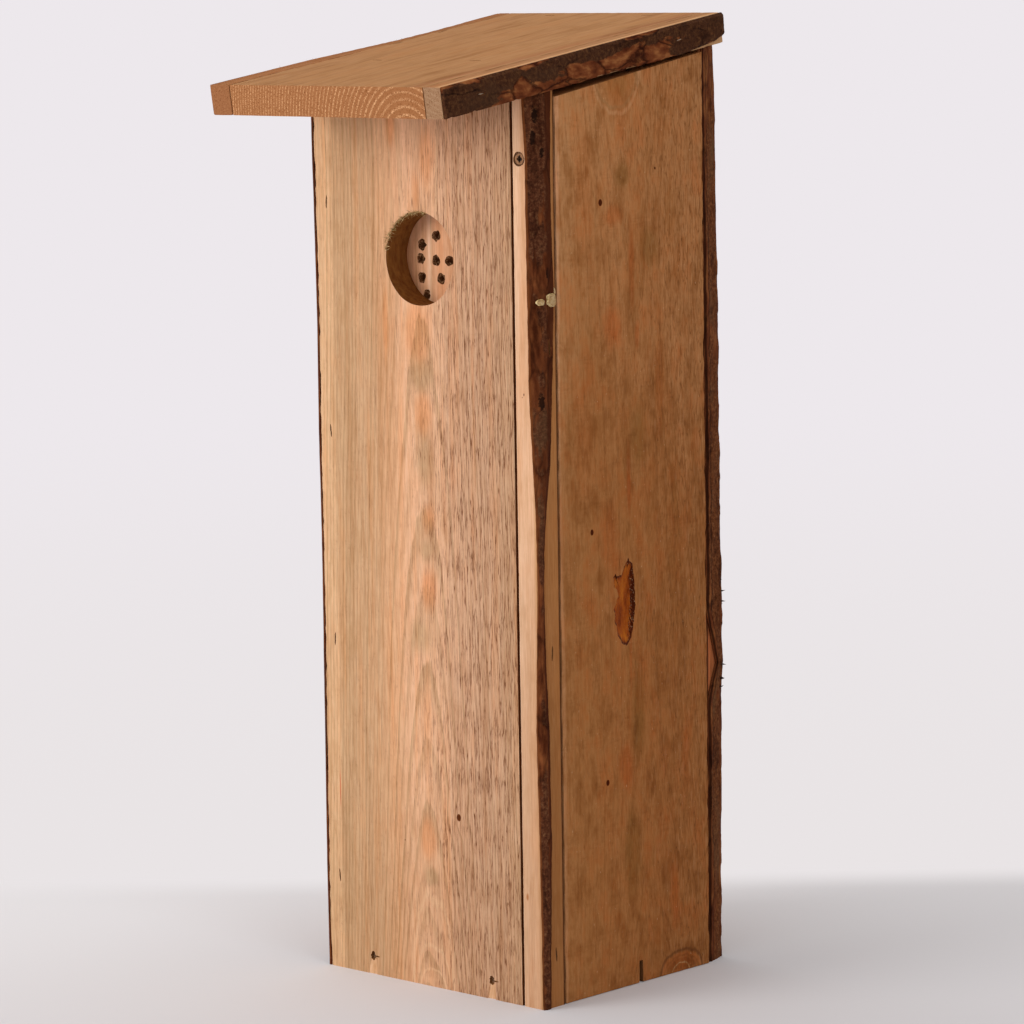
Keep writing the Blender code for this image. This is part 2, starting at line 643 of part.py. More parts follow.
def staple_roof_down(roof, front, wall, back):
    out = ROOF_PLACE.to_3x3() @ UP
    slope = ROOF_PLACE.to_3x3() @ Vector((0, 1, 0))
    near = BOARD / 2
    far = ROOF_BACK - BOARD / 2
    over_wall = X_WALL + BOARD / 2
    places = (
        (over_wall, TOP_STAPLE_DEPTH_FRONT, slope, wall), (over_wall, TOP_STAPLE_DEPTH_REAR, slope, wall),
        (X_LEFT + TOP_STAPLE_INSET, near, RIGHT, front), (X_RIGHT - TOP_STAPLE_INSET, near, RIGHT, front),
        (X_LEFT + TOP_STAPLE_INSET, far, RIGHT, back), (X_RIGHT - TOP_STAPLE_INSET, far, RIGHT, back),
    )
    for i, (x, along, crown, board) in enumerate(places):
        staple(f"roof_top_staple_{i + 1}", roof_point(x, along, BOARD), out, crown, tilt_of(i), (roof, board))


def nail_floor(front, back, floor):
    sides = (X_LEFT + NAIL_FROM_LEFT, X_LEFT + FRONT_WIDTH - NAIL_FROM_RIGHT)
    for i, x in enumerate(sides):
        nail(f"floor_nail_front_{i + 1}", Vector((x, Y_FRONT, NAIL_HEIGHT)), AHEAD, (front, floor))
        nail(f"floor_nail_back_{i + 1}", Vector((x, Y_BACK, NAIL_HEIGHT)), -AHEAD, (back, floor))


clear_scene()
PARTS = new_collection("woodpecker_nest_box")
CUTTERS = new_collection("cutters")
SAWN = material("rough_sawn_softwood", "C29468", 0.85)
SAPWOOD = material("pale_sapwood", "DDB084", 0.75)
BARK = material("bark", "4A2F20", 0.95)
STEEL = material("dull_steel", "7A6E62", 0.5, 0.9)
BRIGHT_STEEL = material("zinc_plated_steel", "B9A98E", 0.35, 1.0)

front_board = make_front_board()
front_bark = make_front_bark()
corner_strip = make_corner_strip()
corner_bark = make_corner_bark()
left_wall = make_left_wall()
back_board = make_back_board()
back_bark = make_back_bark()
floor_board = make_floor_board()
entrance_plug = make_entrance_plug()
side_door = make_side_door()
roof_board = make_roof_board()
roof_strip_left = make_roof_strip_left()
roof_strip_right = make_roof_strip_right()
roof_bark = make_roof_bark()

staple_front_and_back(front_board, left_wall, back_board)
staple_strip(corner_strip, corner_bark, front_board)
staple_plug(entrance_plug, front_board)
staple_roof_strips(roof_strip_left, roof_strip_right, roof_bark, roof_board)
staple_roof_down(roof_board, front_board, left_wall, back_board)
nail_floor(front_board, back_board, floor_board)

screw_front = pivot_screw("pivot_screw_front", Vector((PIVOT.x, Y_FRONT, PIVOT.z)), AHEAD,
                          (corner_strip, side_door))
screw_rear = pivot_screw("pivot_screw_rear", Vector((PIVOT.x, Y_BACK, PIVOT.z)), -AHEAD,
                         (back_board, back_bark, side_door))
hang_on_pivot((side_door, screw_front, screw_rear))
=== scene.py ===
import functools
import itertools
import math

import bmesh
import bpy
import numpy as np
from mathutils import Euler, Matrix, Vector


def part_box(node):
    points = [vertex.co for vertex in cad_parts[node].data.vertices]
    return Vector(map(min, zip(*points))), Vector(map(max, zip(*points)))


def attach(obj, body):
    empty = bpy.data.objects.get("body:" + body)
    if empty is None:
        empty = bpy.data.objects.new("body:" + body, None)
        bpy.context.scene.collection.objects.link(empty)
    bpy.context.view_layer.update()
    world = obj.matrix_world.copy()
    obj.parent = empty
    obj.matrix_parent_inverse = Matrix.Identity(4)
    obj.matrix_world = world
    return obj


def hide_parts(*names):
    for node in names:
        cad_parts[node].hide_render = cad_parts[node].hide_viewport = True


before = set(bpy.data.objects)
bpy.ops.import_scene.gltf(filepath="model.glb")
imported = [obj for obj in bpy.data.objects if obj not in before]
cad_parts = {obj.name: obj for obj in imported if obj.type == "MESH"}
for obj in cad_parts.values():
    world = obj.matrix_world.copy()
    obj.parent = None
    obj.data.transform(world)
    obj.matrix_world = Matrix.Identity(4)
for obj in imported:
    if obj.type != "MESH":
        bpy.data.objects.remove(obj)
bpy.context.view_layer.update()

MM = 0.001
BOARD = 16.5 * MM              # sawn thickness
SEAT = 0.3 * MM                # gap between pieces
NICK = 0.9 * MM                # how far from an arris the next point of a section lies
FACE_STEP = 1.7 * MM           # spacing of a board's points across a face that shows
HIDDEN_STEP = 6 * MM
LENGTH_STEP = 2.6 * MM
BARK_STEP = 0.7 * MM
ROOF_SLOPE = math.radians(8.66)
HOLE_RADIUS = 25 * MM
PILOT_RADIUS = 2.5 * MM
HANG_RADIUS = 4 * MM
THROUGH = BOARD * 1.2          # depth of a cut that goes right through a board
SLIT_LENGTH = 8.5 * MM         # what a staple's crown leaves in a face
SLIT_WIDTH = 1.1 * MM
SLIT_DEPTH = 1.0 * MM
HEAD_DEPTH = 3 * MM            # how deep a screw's head and its torn wood reach
DOOR_CLEARANCE = 4.0 * MM      # under the roof, for the swing
POCKET_WIDTH, POCKET_HEIGHT = 17.2, 47.7    # in millimetres
BARK_LIP = 0.6 * MM

# Places from the frame
FRONT_LOW, FRONT_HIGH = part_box("front_board")
STRIP_LOW, STRIP_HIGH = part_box("corner_strip")
DOOR_LOW, DOOR_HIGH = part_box("side_door")
BACK_LOW, BACK_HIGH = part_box("back_board")
WALL_LOW, WALL_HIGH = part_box("left_wall")
FLOOR_LOW, FLOOR_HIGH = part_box("floor_board")
PLUG_LOW, PLUG_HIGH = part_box("entrance_plug")
ROOF_LOW, ROOF_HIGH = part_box("roof_board")
ROOF_LEFT_LOW, ROOF_LEFT_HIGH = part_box("roof_strip_left")
ROOF_RIGHT_LOW, ROOF_RIGHT_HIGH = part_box("roof_strip_right")
Y_FRONT = FRONT_LOW.y
Y_BACK = BACK_HIGH.y
X_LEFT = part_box("front_board_bark")[0].x
X_RIGHT = DOOR_HIGH.x
FRONT_HEIGHT = FRONT_HIGH.z - BOARD * math.tan(ROOF_SLOPE) + SEAT
ROOF_OVER_FRONT = (Y_FRONT - ROOF_LOW.y - BOARD * math.sin(ROOF_SLOPE)) / math.cos(ROOF_SLOPE)
ROOF_LENGTH = ROOF_OVER_FRONT + (Y_BACK - Y_FRONT) / math.cos(ROOF_SLOPE)
ROOF_PLACE = Matrix.Translation((0, Y_FRONT, FRONT_HEIGHT)) @ Matrix.Rotation(ROOF_SLOPE, 4, "X")
ROOF_OUT = ROOF_PLACE.to_3x3() @ Vector((0, 0, 1))
ROOF_ALONG = ROOF_PLACE.to_3x3() @ Vector((0, 1, 0))
ENTRANCE = Vector(((PLUG_LOW.x + PLUG_HIGH.x) / 2, Y_FRONT, (PLUG_LOW.z + PLUG_HIGH.z) / 2))
HANG_HOLE = Vector((0, Y_BACK, FRONT_HEIGHT - 84.5 * MM))
SLOT_MIDDLE = DOOR_LOW.y + 61.2 * MM
POCKET_MIDDLE = Vector((X_RIGHT, DOOR_LOW.y + 50.7 * MM, 211.2 * MM))
AHEAD, RIGHT, UP = Vector((0, -1, 0)), Vector((1, 0, 0)), Vector((0, 0, 1))

# Shares of a board's height or length, and the bark's run and thickness there, as shares of their most
STRIP_HEIGHT_SHARES = (0, 0.10, 0.19, 0.31, 0.40, 0.46, 0.51, 0.55, 0.60, 0.68, 0.78, 0.88, 0.93, 1)
STRIP_FACE_SHARES = (0.06, 0.08, 0.13, 0.20, 0.12, 0.06, 0.06, 0.10, 0.21, 0.34, 0.37, 0.40, 0.39, 0.55)
STRIP_SIDE_SHARES = (0.29, 0.36, 0.44, 0.40, 0.27, 0.23, 0.27, 0.38, 0.60, 0.75, 0.88, 0.79, 0.80, 0.86)
STRIP_BARK_SHARES = (0.7, 0.9, 0.8, 1.0, 0.7, 0.6, 0.7, 0.8, 1.0, 0.9, 1.0, 0.8, 1.0, 0.9)
LEFT_HEIGHT_SHARES = (0, 0.12, 0.25, 0.38, 0.50, 0.62, 0.74, 0.86, 0.93, 1)
LEFT_WAVE_SHARES = (0.1, -0.3, 0.2, 0.6, 0.9, 0.3, 0.8, 0.1, -0.5, -0.9)
LEFT_BARK_SHARES = (0.8, 1.0, 0.7, 0.9, 0.6, 0.9, 0.7, 1.0, 0.8, 0.9)
BACK_HEIGHT_SHARES = (0, 0.06, 0.18, 0.29, 0.33, 0.39, 0.49, 0.58, 0.73, 0.88, 0.96, 1)
BACK_WANE_SHARES = (0.78, 0.78, 0.71, 0.59, 0.41, 0.38, 0.49, 0.55, 0.54, 0.61, 0.68, 0.83)
BACK_BARK_SHARES = (0.8, 0.9, 1.0, 0.9, 0.8, 0.8, 0.9, 0.9, 0.8, 0.5, 0.5, 0.5)
BACK_BARE_SHARES = (0.03, 0.03, 0.04, 0.10, 0.66, 0.06, 0.03, 0.04, 0.03, 0.05, 0.03, 0.03)
ROOF_LENGTH_SHARES = (0, 0.10, 0.22, 0.34, 0.46, 0.58, 0.70, 0.82, 0.92, 1)
ROOF_BARK_SHARES = (0.9, 1.0, 0.8, 0.9, 0.6, 0.8, 1.0, 0.9, 1.0, 0.8)
ROOF_WANE_SHARES = (0.06, 0.06, 0.10, 0.20, 0.50, 0.85, 1.0, 0.90, 0.65, 0.60)
ROOF_BARE_SHARES = (0.0, 0.0, 0.0, 0.0, 0.0, 0.05, 0.0, 0.0, 0.06, 0.26)
# Pilot holes in the plug, from the entrance's centre, as shares of its radius
PILOT_SHARES = (
    (-0.14, 0.45), (-0.56, 0.25), (-0.61, -0.05), (-0.15, -0.07), (0.24, -0.07), (-0.58, -0.46),
    (0.00, -0.46), (-0.44, -0.84), (0.46, 0.44), (0.63, -0.08), (0.50, -0.52),
)
# The resin pocket's outline, from its centre, as shares of its width and height
POCKET_SHARES = (
    (0.19, 0.50), (0.37, 0.43), (0.46, 0.29), (0.50, -0.05), (0.42, -0.28), (0.30, -0.43), (0.07, -0.50),
    (-0.13, -0.46), (-0.33, -0.37), (-0.45, -0.21), (-0.50, -0.06), (-0.39, 0.02), (-0.28, 0.08),
    (-0.33, 0.15), (-0.49, 0.19), (-0.51, 0.31), (-0.45, 0.36), (-0.35, 0.31), (-0.13, 0.31), (0.00, 0.40),
    (0.10, 0.45),
)
STRIP_WIDTH = STRIP_HIGH.x - STRIP_LOW.x
BACK_WANE = 6.9 * MM
BACK_BARK = 2.4 * MM
STRIP_BARK = 2.1 * MM
ROOF_BARK = 2.6 * MM
LEFT_BARK = 2.0 * MM
LEFT_WAVE = 1.0 * MM
ROOF_WANE_WIDTH = 9.5 * MM
ROOF_WANE_DROP = 3.2 * MM
BACK_WOOD_EDGE = X_RIGHT - BACK_BARK - SEAT

# Words for the nodes
MATH, VECTOR, NOISE = "ShaderNodeMath", "ShaderNodeVectorMath", "ShaderNodeTexNoise"
MIX, RANGE = "ShaderNodeMix", "ShaderNodeMapRange"
PLUS, LESS, TIMES, OVER = ({"operation": word} for word in ("ADD", "SUBTRACT", "MULTIPLY", "DIVIDE"))
TIMES_PLUS, LARGER, RAISED = ({"operation": word} for word in ("MULTIPLY_ADD", "MAXIMUM", "POWER"))
SIZE, LENGTH = {"operation": "ABSOLUTE"}, {"operation": "LENGTH"}
SMOOTH = {"interpolation_type": "SMOOTHSTEP"}
SEEDED = {"noise_dimensions": "4D"}
BLEND = {"data_type": "RGBA"}
TINTED = {"data_type": "RGBA", "blend_type": "MULTIPLY"}


# Small tools

def add(tree, kind, settings=None, **inputs):
    """Add a node; each input is named by its socket or its place, and takes a value or a node to link."""
    made = tree.nodes.new(kind)
    for key, value in (settings or {}).items():
        setattr(made, key, value)
    for key, value in inputs.items():
        if key.startswith("i") and key[1:].isdigit():
            socket = made.inputs[int(key[1:])]
        else:
            socket = next(s for s in made.inputs if key in (s.identifier, s.name.replace(" ", "_")))
        if isinstance(value, bpy.types.Node):
            value = next(s for s in value.outputs if s.enabled)
        if isinstance(value, bpy.types.NodeSocket):
            tree.links.new(value, socket)
        else:
            socket.default_value = value
    return made


def calc(tree, what, *values):
    """Numbers put together in the way that what says."""
    return add(tree, MATH, what, **{f"i{place}": value for place, value in enumerate(values)})


def scaled(tree, value, start, end, low=0, high=1, easing=None):
    """A value taken from low at start to high at end, in a straight line unless easing says otherwise."""
    return add(tree, RANGE, easing, Value=value, From_Min=start, From_Max=end, To_Min=low, To_Max=high)


def eased(tree, value, start, end, low=0, high=1):
    """A value taken from low at start to high at end, slowly at both ends."""
    return scaled(tree, value, start, end, low, high, SMOOTH)


def noise(tree, place, seed, scale, stretch=None, **more):
    """Noise with its own seed; stretch multiplies the place first, which draws the noise out."""
    if stretch is not None:
        place = add(tree, VECTOR, TIMES, i0=place, i1=stretch)
    return add(tree, NOISE, SEEDED, Vector=place, W=seed, Scale=scale, **more)


def tinted(tree, base, tone, share=1):
    """A colour multiplied by a tone, as far as share says."""
    return add(tree, MIX, TINTED, Factor_Float=share, A_Color=base, B_Color=tone)


def painted(tree, base, tone, share):
    """A colour covered by a tone, as far as share says."""
    return add(tree, MIX, BLEND, Factor_Float=share, A_Color=base, B_Color=tone)


def colour(hex_value):
    """An sRGB hex colour as linear red, green, blue and alpha."""
    parts = [int(hex_value[i:i + 2], 16) / 255 for i in (0, 2, 4)]
    return (*[c / 12.92 if c <= 0.04045 else ((c + 0.055) / 1.055) ** 2.4 for c in parts], 1)


@functools.lru_cache(maxsize=None)
def random_heights(seed):
    """A block of random values, kept for each seed."""
    return np.random.default_rng(seed).uniform(-1, 1, (64, 64, 64))


def lumps(points, size, seed):
    """Smooth random swelling from -1 to 1, with lumps of the given size along each axis."""
    table = random_heights(seed)
    spot = np.asarray(points) / np.asarray(size)
    cell = np.floor(spot).astype(int)
    part = spot - cell
    part = part * part * (3 - 2 * part)
    total = np.zeros(spot.shape[:-1])
    for corner in itertools.product((0, 1), repeat=3):
        weight = np.prod(np.where(corner, part, 1 - part), axis=-1)
        x, y, z = np.moveaxis((cell + corner) % 64, -1, 0)
        total += weight * table[x, y, z]
    return total


def step_up(value, low, high):
    """0 below low, 1 above high, smooth between."""
    part = np.clip((value - low) / (high - low), 0, 1)
    return part * part * (3 - 2 * part)


def wander(share, seed, size=0.2 * MM, span=0.012):
    """A small sideways wander along a board's length."""
    spot = np.array([[share, 0.0, 0.0]])
    wide = lumps(spot, (span, 1, 1), seed)[0]
    fine = lumps(spot, (span / 4, 1, 1), seed + 1)[0]
    return float(size * (wide + 0.5 * fine))


def new_piece(name, mesh, *materials):
    """An object with this mesh and these materials, in the scene."""
    piece = bpy.data.objects.new(name, mesh)
    bpy.context.scene.collection.objects.link(piece)
    for surface in materials:
        mesh.materials.append(surface)
    return piece


def loft(name, rings, surface):
    """A closed piece through rings of equal count."""
    rings = np.asarray(rings)
    index = np.arange(rings.shape[0] * rings.shape[1]).reshape(rings.shape[:2])
    here, ahead = index[:-1], index[1:]
    sides = np.stack([here, np.roll(here, -1, 1), np.roll(ahead, -1, 1), ahead], -1).reshape(-1, 4)
    mesh = bpy.data.meshes.new(name)
    ends = [index[0][::-1].tolist(), index[-1].tolist()]
    mesh.from_pydata(rings.reshape(-1, 3).tolist(), [], sides.tolist() + ends)
    bm = bmesh.new()
    bm.from_mesh(mesh)
    bmesh.ops.recalc_face_normals(bm, faces=bm.faces)
    bm.to_mesh(mesh)
    bm.free()
    return new_piece(name, mesh, surface)


def apply_modifiers(piece):
    """Replace a piece's mesh by what its modifiers make of it."""
    shaped = piece.evaluated_get(bpy.context.evaluated_depsgraph_get())
    mesh = bpy.data.meshes.new_from_object(shaped)
    piece.modifiers.clear()
    piece.data = mesh
    return piece


def settle(piece, body, slot, *nodes):
    """Hang a finished piece on its body and hide the CAD nodes that it stands for; slot, its finish, is not
    used.
    """
    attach(piece, body)
    if nodes:
        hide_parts(*nodes)
    return piece


# Board shapes

def section(corners, counts):
    """Points round a section: a count on each side, the outer ones close to its corners."""
    corners = np.asarray(corners, float)
    ring = []
    for start, end, count in zip(corners, np.roll(corners, -1, 0), counts):
        nick = min(NICK / max(np.linalg.norm(end - start), NICK), 0.3)
        shares = np.concatenate(([0], np.linspace(nick, 1 - nick, count)))
        ring.append(start + (end - start) * shares[:, None])
    return np.concatenate(ring)


def corner_chips(counts, chip):
    """How much each point of a section may lose: chip at its corners, one value or one for each."""
    chips = np.zeros(sum(counts) + len(counts))
    chips[np.cumsum([0] + [c + 1 for c in counts[:-1]])] = chip
    return chips


def wear(rings, chips, rough, seed):
    """Saw marks pressed into the faces, and an uneven arris; everything moves inward."""
    along = np.roll(rings, -1, 1) - np.roll(rings, 1, 1)
    out = np.stack([along[..., 1], -along[..., 0]], -1)
    out /= np.maximum(np.linalg.norm(out, axis=-1, keepdims=True), 1e-9)
    ripple = 0.5 + 0.3 * lumps(rings, (4 * MM, 4 * MM, 26 * MM), seed)
    ripple += 0.2 * lumps(rings, (1.9 * MM, 1.9 * MM, 7 * MM), seed + 1)
    bite = lumps(rings, (3 * MM, 3 * MM, 5 * MM), seed + 2)
    bite += 0.35 * lumps(rings, (1 * MM, 1 * MM, 2 * MM), seed + 3)
    inward = rough * ripple + (0.3 + np.clip(bite, -0.25, 1)) * chips
    moved = rings.copy()
    moved[..., :2] -= out * inward[..., None]
    return moved


def counts_for(corners, steps):
    """How many points each side of a section takes at its spacing."""
    corners = np.asarray(corners, float)
    lengths = np.linalg.norm(np.roll(corners, -1, 0) - corners, axis=1)
    return [max(2, int(length / step)) for length, step in zip(lengths, steps)]


def put(rings, place):
    """Rings moved from a board's own axes to the object's."""
    if place is None:
        return rings
    turned = np.array(place)
    return rings @ turned[:3, :3].T + turned[:3, 3]


def board(name, corners_at, steps, height, spacing, surface, rough=0.25 * MM, chip=0.7 * MM, seed=1,
          place=None):
    """A sawn board: its section at each share of its length, corners counterclockwise, and its height."""
    counts = counts_for(corners_at(0), steps)
    chips = corner_chips(counts, chip)
    tallest = max(height(x, y) for x, y in corners_at(1))
    rings = []
    for share in np.linspace(0, 1, int(tallest / spacing)):
        flat = section(corners_at(share), counts)
        tops = np.array([height(x, y) for x, y in flat])
        rings.append(np.column_stack([flat, tops * share]))
    rings = wear(np.array(rings), chips, rough, seed)
    return loft(name, put(rings, place), surface)


def bark_layer(name, line_at, thick_at, most, lip, height, surface, seed, place=None, relief=0.75 * MM,
               most_y=1.0):
    """Bark over a line, which runs so that outward is on its right: plates, fissures and torn edges.

    line_at gives the line's two ends at a share of the length, thick_at the thickness there, most its limit;
    nothing passes most_y. Each point keeps how far it lies from the layer's edges, and its share across, for
    the material."""
    spacing = 1.0 * MM
    line = np.asarray(line_at(0.5), float)
    run = np.linalg.norm(line[-1] - line[0])
    across = np.linspace(0, 1, max(8, int(run / BARK_STEP)))
    longest = max(height(x, y) for x, y in line_at(1))
    rings = []
    inset = []
    widths = []
    for share in np.linspace(0, 1, int(longest / spacing)):
        start, end = (np.asarray(p, float) for p in line_at(share))
        along = (end - start) / np.linalg.norm(end - start)
        out = np.array([along[1], -along[0]])
        inner = start + (end - start) * np.array([0, 1 / 3, 2 / 3, 1])[:, None] + out * SEAT
        inner = np.minimum(inner, (1.0, most_y))
        spots = start + (end - start) * across[:, None]
        rise = thick_at(share)
        grid = np.column_stack([spots, np.full(len(spots), share * longest)])
        rough = 0.55 * lumps(grid, (5 * MM, 5 * MM, 13 * MM), seed)
        rough += 0.3 * lumps(grid, (1.8 * MM, 1.8 * MM, 4.5 * MM), seed + 1)
        rough += 0.35 * (step_up(lumps(grid, (4 * MM, 4 * MM, 7 * MM), seed + 2), 0.05, 0.22) - 0.5)
        rough += 0.14 * lumps(grid, (0.8 * MM, 0.8 * MM, 1.3 * MM), seed + 3)
        edge = np.minimum(across, 1 - across) * run
        soft = step_up(edge, 0, 1.6 * MM)
        thick = lip + (rise - lip) * soft + relief * rough * (0.25 + 0.75 * soft) * min(1, rise / (1.2 * MM))
        thick = np.clip(thick, 0.15 * MM, most)
        outer = np.minimum(spots + out * (SEAT + thick)[:, None], (1.0, most_y))
        flat = np.concatenate([inner, outer[::-1]])
        tops = np.array([height(x, y) for x, y in flat])
        rings.append(np.column_stack([flat, tops * share]))
        inset.append(np.concatenate([np.zeros(4), edge[::-1] / MM]))
        widths.append(np.concatenate([[0, 1 / 3, 2 / 3, 1], across[::-1]]))
    piece = loft(name, put(np.array(rings), place), surface)
    for label, values in (("from_edge", inset), ("across", widths)):
        kept = piece.data.attributes.new(label, "FLOAT", "POINT")
        kept.data.foreach_set("value", np.concatenate(values).astype(np.float32))
    return piece


def under_roof(x, y):
    """How high the boards stand at a place under the sloping roof."""
    return FRONT_HEIGHT - SEAT + (y - Y_FRONT) * math.tan(ROOF_SLOPE)


def rectangle(low, high):
    """A section that stays the same along a board."""
    corners = ((low.x, low.y), (high.x, low.y), (high.x, high.y), (low.x, high.y))
    return lambda share: corners


# Camera, lamps and stage

def aim(item, target):
    """Turn a lamp towards a point."""
    item.rotation_euler = (target - item.location).to_track_quat("-Z", "Y").to_euler()


def set_camera():
    """The photograph's camera, from a fit to the box's corners."""
    azimuth, elevation, roll = (math.radians(v) for v in (42.898, 7.527, -0.856))
    focal_pixels = 4160.784
    image_side = 1024
    distance = 2278.552 * MM
    back = Vector((math.sin(azimuth) * math.cos(elevation), -math.cos(azimuth) * math.cos(elevation),
                   math.sin(elevation)))
    right = Vector((0, 0, 1)).cross(back).normalized()
    up = back.cross(right)
    middle = Vector((4, -12.05, 254.384)) * MM - right * 1.068 * MM      # what the camera looks at
    view = bpy.data.cameras.new("camera")
    view.sensor_fit = "HORIZONTAL"
    view.sensor_width = 36
    view.lens = focal_pixels / image_side * view.sensor_width
    view.clip_end = 20
    camera = bpy.data.objects.new("camera", view)
    bpy.context.scene.collection.objects.link(camera)
    turned_right = right * math.cos(roll) + up * math.sin(roll)
    turned_up = up * math.cos(roll) - right * math.sin(roll)
    axes = Matrix((turned_right, turned_up, back)).transposed().to_4x4()
    camera.matrix_world = Matrix.Translation(middle + back * distance) @ axes
    bpy.context.scene.camera = camera


def lamp(name, place, size, watts, tint):
    """A round softbox that looks at the box's middle."""
    light = bpy.data.lights.new(name, "AREA")
    light.shape = "DISK"
    light.size = size
    light.energy = watts
    light.color = colour(tint)[:3]
    item = bpy.data.objects.new(name, light)
    bpy.context.scene.collection.objects.link(item)
    item.location = place
    aim(item, Vector((0, 0, 0.25)))


def set_lights():
    """Three softboxes round a pale room; the camera sees the backdrop's own tone."""
    lamp("key_softbox", Vector((-1.1, -2.3, 0.9)), 1.6, 40, "FFFEFC")
    lamp("fill_softbox", Vector((2.1, -0.8, 1.5)), 1.5, 10, "FFFEFC")
    lamp("top_softbox", Vector((-0.2, -0.2, 2.4)), 1.6, 16, "FFFFFF")
    world = bpy.data.worlds.new("studio")
    world.use_nodes = True
    bpy.context.scene.world = world
    tree = world.node_tree
    tree.nodes.clear()
    rays = add(tree, "ShaderNodeLightPath")
    seen = calc(tree, LARGER, rays.outputs["Is Camera Ray"], rays.outputs["Is Glossy Ray"])
    seen = calc(tree, LARGER, seen, rays.outputs["Is Transmission Ray"])
    room = add(tree, "ShaderNodeBackground", Color=colour("FBFAF9"), Strength=0.50)
    backdrop = add(tree, "ShaderNodeBackground", Color=colour("EDE8EC"), Strength=1.0)
    mixed = add(tree, "ShaderNodeMixShader", Fac=seen, i1=room, i2=backdrop)
    add(tree, "ShaderNodeOutputWorld", Surface=mixed)


def studio_floor():
    """Matt pale paper: it keeps the box's shadow and its tone is painted darker towards the camera, as shade;
    past its far edge it has the backdrop's tone, painted a little darker near the box as shade.
    """
    made, tree, place = start_material("matt_paper_sweep")
    behind = add(tree, VECTOR, {"operation": "DOT_PRODUCT"}, i0=place, i1=(-0.68, 0.73, 0)).outputs["Value"]
    far = eased(tree, behind, 0.165, 0.225)
    # Painted shade: the paper darkens towards the camera.
    near = eased(tree, behind, -0.25, 0.2)
    paper = add(tree, "ShaderNodeBsdfPrincipled", Base_Color=ramp(tree, near, ((0, "D5D1D3"), (1, "E7E4E6"))),
                Roughness=0.9)
    paper.inputs["Specular IOR Level"].default_value = 0.2
    reach = add(tree, VECTOR, LENGTH, i0=place).outputs["Value"]
    outer = eased(tree, reach, 0.34, 0.85)
    far = calc(tree, LARGER, far, outer)
    # The backdrop tone is painted a little darker near the box, as shade.
    reach = eased(tree, reach, 0.2, 3.0)
    glow = add(tree, "ShaderNodeEmission", Color=ramp(tree, reach, ((0, "E9E4E5"), (1, "EDE8EC"))),
               Strength=1.0)
    rays = add(tree, "ShaderNodeLightPath")
    shown = calc(tree, TIMES, far, rays.outputs["Is Camera Ray"])
    mixed = add(tree, "ShaderNodeMixShader", Fac=shown, i1=paper, i2=glow)
    add(tree, "ShaderNodeOutputMaterial", Surface=mixed)
    mesh = bpy.data.meshes.new("studio_floor")
    bm = bmesh.new()
    bmesh.ops.create_circle(bm, cap_ends=True, segments=64, radius=6)
    bm.to_mesh(mesh)
    bm.free()
    new_piece("studio_floor", mesh, made)


# Materials

def start_material(name):
    """A new material, its empty node tree, and the object's own coordinates in it."""
    made = bpy.data.materials.new(name)
    made.use_nodes = True
    tree = made.node_tree
    tree.nodes.clear()
    return made, tree, add(tree, "ShaderNodeTexCoord").outputs["Object"]


def end_material(tree, base, height, roughness, bump, depth, specular=0.25, metallic=0.0):
    """The shader, with its relief in metres."""
    relief = add(tree, "ShaderNodeBump", Strength=bump, Distance=depth, Height=height)
    shader = add(tree, "ShaderNodeBsdfPrincipled", Base_Color=base, Roughness=roughness, Metallic=metallic,
                 Normal=relief)
    shader.inputs["Specular IOR Level"].default_value = specular
    add(tree, "ShaderNodeOutputMaterial", Surface=shader)


def ramp(tree, value, stops, smooth=False):
    """A colour ramp through (position, hex colour) stops."""
    made = add(tree, "ShaderNodeValToRGB", Fac=value)
    made.color_ramp.interpolation = "EASE" if smooth else "LINEAR"
    points = made.color_ramp.elements
    while len(points) > 1:
        points.remove(points[-1])
    points[0].position = stops[0][0]
    points[0].color = colour(stops[0][1])
    for position, tone in stops[1:]:
        points.new(position).color = colour(tone)
    return made.outputs["Color"]


def far_from(tree, log, waver, middle, half_sizes, wobble):
    """How far a point lies from a patch on the face, in half sizes, where the outline wavers by wobble.

    middle and half_sizes are in millimetres, across and along the grain."""
    spot = add(tree, VECTOR, LESS, i0=log, i1=(middle[0] * MM, 0, middle[1] * MM))
    spot = add(tree, VECTOR, TIMES, i0=spot, i1=(1 / (half_sizes[0] * MM), 0, 1 / (half_sizes[1] * MM)))
    far = add(tree, VECTOR, LENGTH, i0=spot).outputs["Value"]
    return calc(tree, TIMES_PLUS, waver, wobble, far)


def rise_curve(tree, share, points, depth):
    """How much nearer the pith comes at a share of the length: points run from 0 to 1, depth is the most."""
    made = add(tree, "ShaderNodeFloatCurve", Value=share)
    curve = made.mapping.curves[0]
    for point, place in zip(curve.points, (points[0], points[-1])):
        point.location = place
    for place in points[1:-1]:
        curve.points.new(*place)
    made.mapping.update()
    return calc(tree, TIMES, made, depth)


